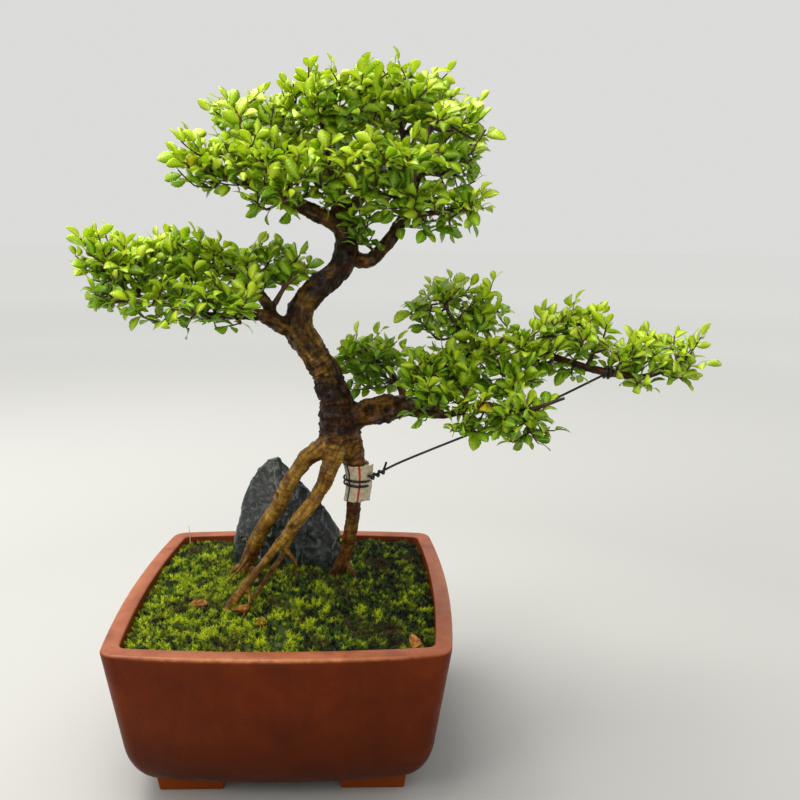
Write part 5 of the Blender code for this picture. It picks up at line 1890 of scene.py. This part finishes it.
@dataclass
class Leaves:
    """Leaves set alternately along the shoots, one piece for each pad."""

    twigs: Twigs
    seed: int = 21
    finish: LeafFinish = field(default_factory=LeafFinish)
    spacing: float = 5.2 * MM
    length_mm: tuple[float, float] = (11.5, 19.0)
    kinds: int = 7

    def leaf(self, kind: int) -> bpy.types.Object:
        """One leaf of unit length: stalk, toothed blade folded on its midrib, closed underneath.

        Args:
            kind: which of the leaves, also its seed.

        Returns:
            The leaf.
        """
        random = np.random.default_rng(300 + kind)
        stations = np.array([0.0, 0.09, 0.15, 0.24, 0.34, 0.44, 0.54, 0.64, 0.74, 0.83, 0.91, 0.97, 1.0])
        widest = random.uniform(0.24, 0.31)
        fold, droop, twist = random.uniform(0.06, 0.3), random.uniform(0.1, 0.45), random.uniform(-0.3, 0.3)
        points, blade = [], []
        for number, t in enumerate(stations):
            swell = max(0.0, (t - 0.06) / 0.94)
            half = widest * (math.sin(math.pi * swell ** 1.18) ** 0.6 if 0 < swell < 1 else 0.0)
            half = max(half, 0.022 if t < 0.1 else 0.03)
            if 0.2 < t < 0.96:
                half *= 1.05 if number % 2 else 0.95
            lift = -droop * (t - 0.35) ** 2 + 0.06 * math.sin(3 * t)
            thick = 0.011 * (1 - 0.5 * t)
            lean = twist * (t - 0.3)
            for side, down in ((-1, 0.0), (0, thick), (1, 0.0), (0, -thick)):
                ripple = 0.018 * abs(side) * math.sin(9 * t + side + kind)
                points.append((t, side * half, lift + abs(side) * half * fold + down + side * half * lean
                               + ripple))
                blade.append((t, side * half / widest * 0.5, 1.0 if down >= 0 else 0.0))
        faces = []
        for row in range(len(stations) - 1):
            a, b = row * 4, row * 4 + 4
            faces += [(a + i, a + (i + 1) % 4, b + (i + 1) % 4, b + i) for i in range(4)]
        faces += [(3, 2, 1, 0), tuple(len(points) - 4 + i for i in range(4))]
        leaf = mesh_object(f"leaf_{kind}", points, faces)
        set_attribute(leaf.data, "blade", np.array(blade), "FLOAT_VECTOR")
        shape = bmesh.new()
        shape.from_mesh(leaf.data)
        bmesh.ops.recalc_face_normals(shape, faces=shape.faces)
        shape.to_mesh(leaf.data)
        shape.free()
        return leaf

    def settings(self, shoot: Shoot, pad: Pad) -> list[tuple]:
        """Place, turn, size, tint and kind of each leaf on a shoot.

        Args:
            shoot: the shoot.
            pad: its pad.

        Returns:
            A row for each leaf.
        """
        random = self.random
        steps = np.linalg.norm(np.diff(shoot.path, axis=0), axis=1)
        reach = np.r_[0, np.cumsum(steps)]
        low, high = (np.array(v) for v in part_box("foliage_" + pad.name))
        middle, half = (low + high) / 2, (high - low) / 2
        found = []
        at, turn = shoot.leafy_from + random.uniform(0, 3) * MM, random.choice((-1, 1))
        stops = list(np.arange(at, reach[-1] - 1.5 * MM, self.spacing)) + [reach[-1]]
        for number, stop in enumerate(stops):
            here = np.array([np.interp(stop, reach, shoot.path[:, k]) for k in range(3)])
            index = min(int(np.searchsorted(reach, stop, side="right")), len(steps)) - 1
            way = (shoot.path[index + 1] - shoot.path[index]) / (steps[index] + 1e-9)
            last = number == len(stops) - 1
            up = np.array([0.0, -0.1, 1.0]) + 0.5 * (here - middle) / half + random.normal(0, 0.36, 3)
            up -= way * up.dot(way)
            up /= np.linalg.norm(up) + 1e-9
            side = np.cross(way, up) * turn
            open_by = random.uniform(0.0, 0.4) if last else random.uniform(0.75, 1.25)
            axis = way * math.cos(open_by) + side * math.sin(open_by) + up * random.uniform(0.05, 0.4)
            axis /= np.linalg.norm(axis)
            normal = up + random.normal(0, 0.22, 3)
            normal -= axis * normal.dot(axis)
            normal /= np.linalg.norm(normal)
            basis = Matrix(np.c_[axis, np.cross(normal, axis), normal].tolist())
            height = (here - middle)[2] / half[2]
            outness = np.linalg.norm((here - middle) / half)
            # painted light: leaves lighter in sunny pads, high up and on the outside of a pad, darker deep
            # inside; tip leaves a little lighter as new growth
            tint = 0.2 + 0.42 * pad.sun + 0.3 * height + 0.24 * min(outness, 1.2) + random.normal(0, 0.15)
            if last:
                tint += 0.06
            tint = min(tint, 0.82)
            if random.random() < 0.002:
                tint = 1.1
            size = (random.uniform(*self.length_mm) * MM * (0.78 if last else 1.0)
                    * (0.9 if stop < 8 * MM else 1.0))
            found.append((here, tuple(basis.to_euler()), size, float(max(tint, 0.02)),
                          int(random.integers(self.kinds))))
            turn = -turn
        return found

    def scatter_tree(self) -> bpy.types.NodeTree:
        """Geometry Nodes that set a chosen leaf on each point."""
        tree = bpy.data.node_groups.new("leaf_scatter", "GeometryNodeTree")
        socket = tree.interface.new_socket
        socket("Nodes", in_out="INPUT", socket_type="NodeSocketGeometry")
        socket("Leaves", in_out="INPUT", socket_type="NodeSocketCollection")
        socket("Size", in_out="INPUT", socket_type="NodeSocketFloat")
        socket("Finish", in_out="INPUT", socket_type="NodeSocketMaterial")
        socket("Foliage", in_out="OUTPUT", socket_type="NodeSocketGeometry")
        given = add_node(tree, "NodeGroupInput").outputs
        named = {name: add_node(tree, "GeometryNodeInputNamedAttribute", {"Name": name},
                                data_type=kind).outputs[0]
                 for name, kind in (("turn", "FLOAT_VECTOR"), ("size", "FLOAT"), ("kind", "INT"))}
        kinds = add_node(tree, "GeometryNodeCollectionInfo",
                         {"Collection": given["Leaves"], "Separate Children": True, "Reset Children": True})
        size = add_node(tree, "ShaderNodeMath", {0: named["size"], 1: given["Size"]}, operation="MULTIPLY")
        turned = add_node(tree, "FunctionNodeEulerToRotation", {0: named["turn"]})
        planted = add_node(tree, "GeometryNodeInstanceOnPoints",
                           {"Points": given["Nodes"], "Instance": kinds.outputs[0], "Pick Instance": True,
                            "Instance Index": named["kind"], "Rotation": turned.outputs[0],
                            "Scale": size.outputs[0]})
        real = add_node(tree, "GeometryNodeRealizeInstances", {0: planted.outputs[0]})
        dressed = add_node(tree, "GeometryNodeSetMaterial",
                           {"Geometry": real.outputs[0], "Material": given["Finish"]})
        add_node(tree, "NodeGroupOutput", {0: dressed.outputs[0]})
        return tree

    def build(self) -> dict[str, bpy.types.Object]:
        """Leaves of every pad, by the pad's name."""
        self.random = np.random.default_rng(self.seed)
        kinds = collection_of("leaf_kinds", [self.leaf(k) for k in range(self.kinds)])
        tree, material = self.scatter_tree(), self.finish.material()
        made = {}
        for pad in PADS:
            rows = [row for shoot in self.twigs.shoots if shoot.pad == pad.name
                    for row in self.settings(shoot, pad)]
            places, turns, sizes, tints, chosen = (np.array(column) for column in zip(*rows))
            points = mesh_object("leaf_nodes", places, [])
            set_attribute(points.data, "turn", turns, "FLOAT_VECTOR")
            set_attribute(points.data, "size", sizes)
            set_attribute(points.data, "tint", tints)
            set_attribute(points.data, "kind", chosen, "INT")
            made[pad.name] = grown_copy("leaves_" + pad.name, points, tree,
                                        {"Leaves": kinds, "Size": 1.0, "Finish": material})
            LOG.info("%s: %d leaves", pad.name, len(rows))
        drop_collection(kinds)
        return made


# ---- root wrap and guy wire -------------------------------------------------------------------------


def limb_named(name: str) -> Limb:
    """The limb with a name."""
    return next(limb for limb in LIMBS if limb.name == name)


@dataclass
class Rigging:
    """The wrap on the right-hand root and the wire that holds the long limb down."""

    site: Site
    wrap_finish: WovenTapeFinish = field(default_factory=WovenTapeFinish)
    wire_finish: PlainFinish = GUY_FINISH
    wrap_middle: float = 91
    wrap_length: float = 34
    wrap_wall: float = 0.7
    slack: float = 1.9
    wire: float = 2.0
    turns: int = 2
    pitch: float = 4.5
    run: tuple = ((72, -7, 99), (92, -5, 109), (117, -5, 120), (146, -8, 133), (191, -10, 152),
                  (228, -12, 170))
    limb_middle: float = 270
    limb_skip: int = 40
    look_ahead: int = 2

    def root_at(self, z: np.ndarray) -> tuple[np.ndarray, np.ndarray]:
        """Middle and radius of the wrapped root at drawn heights.

        Args:
            z: the heights.

        Returns:
            The middles and the radii.
        """
        path = smooth_path(limb_named("root_right").knots, 2.0)[::-1]
        middle = np.c_[np.interp(z, path[:, 2], path[:, 0]), np.interp(z, path[:, 2], path[:, 1]), z]
        return middle, np.interp(z, path[:, 2], path[:, 3])

    def wrap(self) -> bpy.types.Object:
        """A band wound a little more than once round, with a loose end and frayed, wavy edges."""
        rows, columns = 30, 84
        heights = np.linspace(-0.5, 0.5, rows)
        turns = np.linspace(-0.55 * math.pi, 1.95 * math.pi, columns)
        sheet = np.zeros((rows, columns, 3))
        tags = np.zeros((rows, columns, 3))
        for i, share in enumerate(heights):
            for j, turn in enumerate(turns):
                edge = abs(share * 2) ** 6
                ragged = edge * (1.1 * noise.noise(Vector((turn * 2.1, share * 3, 1.0)))
                                 + 0.6 * noise.noise(Vector((turn * 6.0, share, 2.0))))
                z = self.wrap_middle + self.wrap_length * share + ragged
                middle, radius = (v[0] for v in self.root_at(np.array([z])))
                wound = (turn + 0.55 * math.pi) / (2 * math.pi)
                reach = radius + self.slack + wound * 0.95
                reach += 0.45 * noise.noise(Vector((turn * 1.3, z / 9, 3.0))) + edge * 0.5
                loose = max(0.0, (turn - 1.72 * math.pi) / (0.23 * math.pi))
                reach += 3.2 * loose ** 1.6
                sheet[i, j] = middle + (reach * math.cos(turn), reach * math.sin(turn), 0)
                tags[i, j] = (math.remainder(turn + math.pi / 2, 2 * math.pi), self.wrap_length * share, 0)
        flat = sheet.reshape(-1, 3)
        faces = [(i * columns + j, i * columns + j + 1, (i + 1) * columns + j + 1, (i + 1) * columns + j)
                 for i in range(rows - 1) for j in range(columns - 1)]
        wrap = mesh_object("root_wrap", self.site.place(flat), faces)
        set_attribute(wrap.data, "wrap", tags.reshape(-1, 3), "FLOAT_VECTOR")
        wall = wrap.modifiers.new("wall", "SOLIDIFY")
        wall.thickness, wall.offset = self.wrap_wall * MM, 0.0
        apply_modifiers(wrap)
        wrap.data.shade_smooth()
        wrap.data.materials.append(self.wrap_finish.material())
        return wrap

    def route(self) -> np.ndarray:
        """The wire's route in drawn millimetres: round the wrap, across, and round the limb."""
        steps = self.turns * 20
        share = np.arange(steps + 1) / steps
        z = self.wrap_middle - self.pitch / 2 + self.pitch * self.turns * share
        middle, radius = self.root_at(z)
        angle = -2 * math.pi * self.turns * share - 0.6
        reach = radius + self.slack + 1.9 + self.wire / 2
        first = middle + np.c_[reach * np.cos(angle), reach * np.sin(angle), 0 * angle]
        limb = smooth_path(limb_named("right").knots, 2.0)[self.limb_skip:]
        centre = np.array([self.limb_middle] + [np.interp(self.limb_middle, limb[:, 0], limb[:, k])
                                                for k in (1, 2, 3)])
        ahead = limb[np.searchsorted(limb[:, 0], self.limb_middle) + self.look_ahead, :3] - centre[:3]
        along = ahead / np.linalg.norm(ahead)
        side = np.cross(along, (0, 0, 1))
        side /= np.linalg.norm(side)
        over = np.cross(side, along)
        angle = -0.75 * math.pi + 2 * math.pi * self.turns * share
        shift = self.pitch * 0.75 * self.turns * (share - 0.5)
        reach = centre[3] + 0.4 + self.wire / 2
        last = centre[:3] + np.outer(shift, along) + reach * (np.outer(np.cos(angle), side)
                                                            + np.outer(np.sin(angle), over))
        line = smooth_path([first[-1], *self.run, last[0]], 4.0)
        return np.vstack([first[:-1], line, last[1:]])

    def build(self) -> list[bpy.types.Object]:
        """The wrap and the wire with its twisted knot and its tail."""
        route = self.route()
        parts = [tube(self.site.place(route), self.wire / 2 * MM, 12)]
        knot = np.array(self.run[0]) + (-3, 0.2, -2.2)
        way = np.array(self.run[1], float) - np.array(self.run[0], float)
        way /= np.linalg.norm(way)
        side = np.cross(way, (0, 1, 0))
        share = np.linspace(0, 1, 44)
        twist = 2 * math.pi * 3 * share
        tail = (knot + np.outer(share * 15, way) + 2.0 * (np.outer(np.cos(twist), side)
                                                         + np.outer(np.sin(twist), np.cross(way, side))))
        free = tail[-1] + np.outer(np.linspace(0.1, 1, 6), (1.5, -2.0, 5.5))
        parts.append(tube(self.site.place(np.vstack([tail, free])), self.wire / 2 * MM, 12))
        wire = join_meshes("guy_wire_run", parts)
        wire.data.materials.append(self.wire_finish.material())
        return [self.wrap(), wire]


# ---- small things -----------------------------------------------------------------------------------


@dataclass
class Litter:
    """Dry leaves and a blade of grass, each on the place of its CAD node."""

    count: int = 4

    def curled_leaf(self, number: int, material: bpy.types.Material) -> bpy.types.Object:
        """A shrivelled leaf that fills its node's box.

        Args:
            number: the node's number, also its seed.
            material: its material.

        Returns:
            The leaf.
        """
        random = np.random.default_rng(50 + number)
        low, high = (np.array(v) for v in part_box(f"dry_leaf_{number}"))
        rows, columns = 18, 9
        t, s = np.meshgrid(np.linspace(0, 1, rows), np.linspace(-1, 1, columns), indexing="ij")
        half = np.sin(np.pi * (0.04 + 0.92 * t)) ** 0.8 * 0.5
        curl = random.uniform(1.0, 1.9)
        x = (t - 0.5) * 2
        y = np.sin(s * curl) / curl * half * 2
        z = (1 - np.cos(s * curl)) / curl * half * 1.6 + 0.55 * x ** 2 + 0.1 * np.sin(5 * t + number)
        z += 0.12 * np.cos(9 * s + 3 * t) * half
        flat = np.c_[x.ravel(), y.ravel(), z.ravel()]
        spin = random.uniform(0, math.pi)
        flat[:, :2] = flat[:, :2] @ np.array([[math.cos(spin), math.sin(spin)],
                                              [-math.sin(spin), math.cos(spin)]])
        span = flat.max(0) - flat.min(0)
        flat = (flat - flat.min(0)) / span * (high - low) + low
        faces = [(i * columns + j, i * columns + j + 1, (i + 1) * columns + j + 1, (i + 1) * columns + j)
                 for i in range(rows - 1) for j in range(columns - 1)]
        leaf = mesh_object(f"litter_leaf_{number}", flat, faces)
        wall = leaf.modifiers.new("wall", "SOLIDIFY")
        wall.thickness, wall.offset = 0.35 * MM, 0.0
        apply_modifiers(leaf)
        leaf.data.shade_smooth()
        leaf.data.materials.append(material)
        return leaf

    def grass(self) -> bpy.types.Object:
        """A folded blade that narrows to its tip."""
        low, high = (np.array(v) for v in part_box("grass_blade"))
        share = np.linspace(0, 1, 14)
        middle = (low + high) / 2
        path = np.c_[np.interp(share ** 2, [0, 1], [high[0] - 0.7 * MM, low[0] + 0.4 * MM]),
                     np.full(14, middle[1]), np.interp(share, [0, 1], [low[2], high[2]])]
        blade = mesh_object("dry_grass", *tube(path, np.interp(share, [0, 1], [0.75, 0.15]) * MM, 8))
        blade.data.materials.append(STRAW_FINISH.material())
        return blade

    def build(self) -> dict[str, bpy.types.Object]:
        """Every piece of litter, by the node it stands for."""
        material = DRY_LEAF_FINISH.material()
        made = {f"dry_leaf_{n}": self.curled_leaf(n, material) for n in range(1, self.count + 1)}
        made["grass_blade"] = self.grass()
        return made


# ---- stage ------------------------------------------------------------------------------------------


@dataclass
class Studio:
    """Pale floor, soft light and the camera."""

    site: Site
    lens_mm: float = 37.65
    station: tuple[float, float, float] = (0.0656, -0.7067, 0.4394)
    pitch: float = math.radians(10.95)
    yaw: float = math.radians(2.33)
    roll: float = math.radians(0.88)

    def camera(self) -> None:
        """A camera that looks slightly down at the tree from the front."""
        lens = bpy.data.cameras.new("camera")
        lens.lens, lens.sensor_width = self.lens_mm, 36.0
        camera = bpy.data.objects.new("camera", lens)
        bpy.context.scene.collection.objects.link(camera)
        ahead = Vector((math.sin(self.yaw) * math.cos(self.pitch), math.cos(self.yaw) * math.cos(self.pitch),
                        -math.sin(self.pitch)))
        level = Vector((math.cos(self.yaw), -math.sin(self.yaw), 0))
        above = level.cross(ahead)
        right = level * math.cos(self.roll) + above * math.sin(self.roll)
        up = above * math.cos(self.roll) - level * math.sin(self.roll)
        turn = Matrix((right, up, -ahead)).transposed().to_4x4()
        place = Vector((self.station[0] + self.site.axis_x, self.station[1] + self.site.axis_y,
                        self.station[2]))
        camera.matrix_world = Matrix.Translation(place) @ turn
        bpy.context.scene.camera = camera

    def softbox(self, name: str, place: tuple, size: float, power: float, colour: str) -> None:
        """A square area light that faces the tree.

        Args:
            name: its name.
            place: where it hangs.
            size: its side in metres.
            power: its power in watts.
            colour: its hex colour.
        """
        light = bpy.data.lights.new(name, "AREA")
        light.shape, light.size, light.energy = "SQUARE", size, power
        light.color = linear(colour)[:3]
        box = bpy.data.objects.new(name, light)
        bpy.context.scene.collection.objects.link(box)
        here, target = Vector(place), Vector((0, 0, 0.3))
        towards = (target - here).to_track_quat("-Z", "Y").to_matrix().to_4x4()
        box.matrix_world = Matrix.Translation(here) @ towards

    def build(self) -> None:
        """Set the stage."""
        self.camera()
        world = bpy.data.worlds.new("studio")
        bpy.context.scene.world = world
        world.use_nodes = True
        sky = world.node_tree.nodes["Background"]
        sky.inputs["Color"].default_value = linear("E4E4E2")
        sky.inputs["Strength"].default_value = 0.92
        self.softbox("overhead", (-0.45, 0.15, 1.7), 1.3, 36, "FFFDF6")
        self.softbox("front_left", (-1.5, -1.3, 1.5), 0.8, 12, "FFF8EC")
        bpy.context.scene.view_settings.view_transform = "Standard"
        made, add, shader, where = Finish("matte_paper", roughness=0.9).start()
        # painted light: the floor is painted lighter with distance, grey near the middle to near white far off,
        # so it fades into the background with no horizon
        far = add("ShaderNodeVectorMath", where, operation="LENGTH").outputs["Value"]
        fade = add(RAMP, add(MATH, (far, 6.0), operation="DIVIDE"),
                   stops=[(0.1, "B6B6B4"), (0.25, "D2D2D0"), (0.5, "F0F0EE"), (0.95, "FDFDFC")])
        fill(shader, {"Base Color": fade})
        floor = mesh_object("floor", [(-30, -30, 0), (30, -30, 0), (30, 30, 0), (-30, 30, 0)], [(0, 1, 2, 3)],
                            False)
        floor.data.materials.append(made)


# ---- assembly ---------------------------------------------------------------------------------------


def settle(piece: bpy.types.Object, slot: str, *nodes: str) -> None:
    """Make a piece ride on the body and stand for its CAD nodes."""
    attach(piece, BODY)
    if nodes:
        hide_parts(*nodes)
    LOG.info("%s: %d faces", piece.name, len(piece.data.polygons) if piece.type == "MESH" else 0)


def dress(node: bpy.types.Object, material: bpy.types.Material) -> None:
    """Give a CAD node a better material."""
    for slot in node.material_slots:
        slot.material = material


def main() -> None:
    """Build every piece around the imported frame."""
    logging.basicConfig(level=logging.INFO, format="%(message)s")
    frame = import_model()
    site = Site.from_frame()
    Studio(site).build()

    settle(Pot(site).build(), "unglazed_clay", "pot")
    settle(Stone(site).build(), "river_stone", "stone")

    skeleton = Skeleton.of(LIMBS)
    wood = Wood(site, skeleton).build()
    settle(wood, "bark", "tree")

    bed = MossBed(site)

    def clear_of(points: np.ndarray) -> np.ndarray:
        """0 inside the wood or under a dry leaf, 1 away from them.

        Args:
            points: places in metres.

        Returns:
            A value for each point.
        """
        drawn = (points - (site.axis_x, site.axis_y, site.crown)) / MM
        near = skeleton.nearest(drawn)
        gap = np.linalg.norm(drawn - skeleton.places[near], axis=1) - skeleton.radii[near]
        free = smoothstep(-1.0, 1.5, gap)
        for number in range(1, Litter.count + 1):
            low, high = (np.array(v)[:2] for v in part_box(f"dry_leaf_{number}"))
            reach = np.abs(points[:, :2] - (low + high) / 2) / ((high - low) / 2)
            free *= smoothstep(0.75, 1.0, np.linalg.norm(reach, axis=1))
        return free

    cushion, *fields = bed.build(clear_of)
    settle(cushion, "moss", "moss")
    for shoots in fields:
        settle(shoots, "moss")

    twigs = Twigs(site, skeleton)
    twigs.grow()
    settle(twigs.build(), "bark")
    for name, piece in Leaves(twigs).build().items():
        settle(piece, "foliage", "foliage_" + name)

    wrap, wire = Rigging(site).build()
    settle(wrap, "woven_plastic_wrap", "root_sleeve")
    settle(wire, "black_wire", "guy_wire")
    for node, piece in Litter().build().items():
        settle(piece, "dry_grass" if node == "grass_blade" else "dry_leaf", node)
    for node, finish in (("drain_mesh", MESH_FINISH), ("mesh_clip", CLIP_FINISH), ("soil", SOIL_FINISH)):
        dress(frame["nodes"][node], finish.material())


if __name__ == "__main__":
    main()
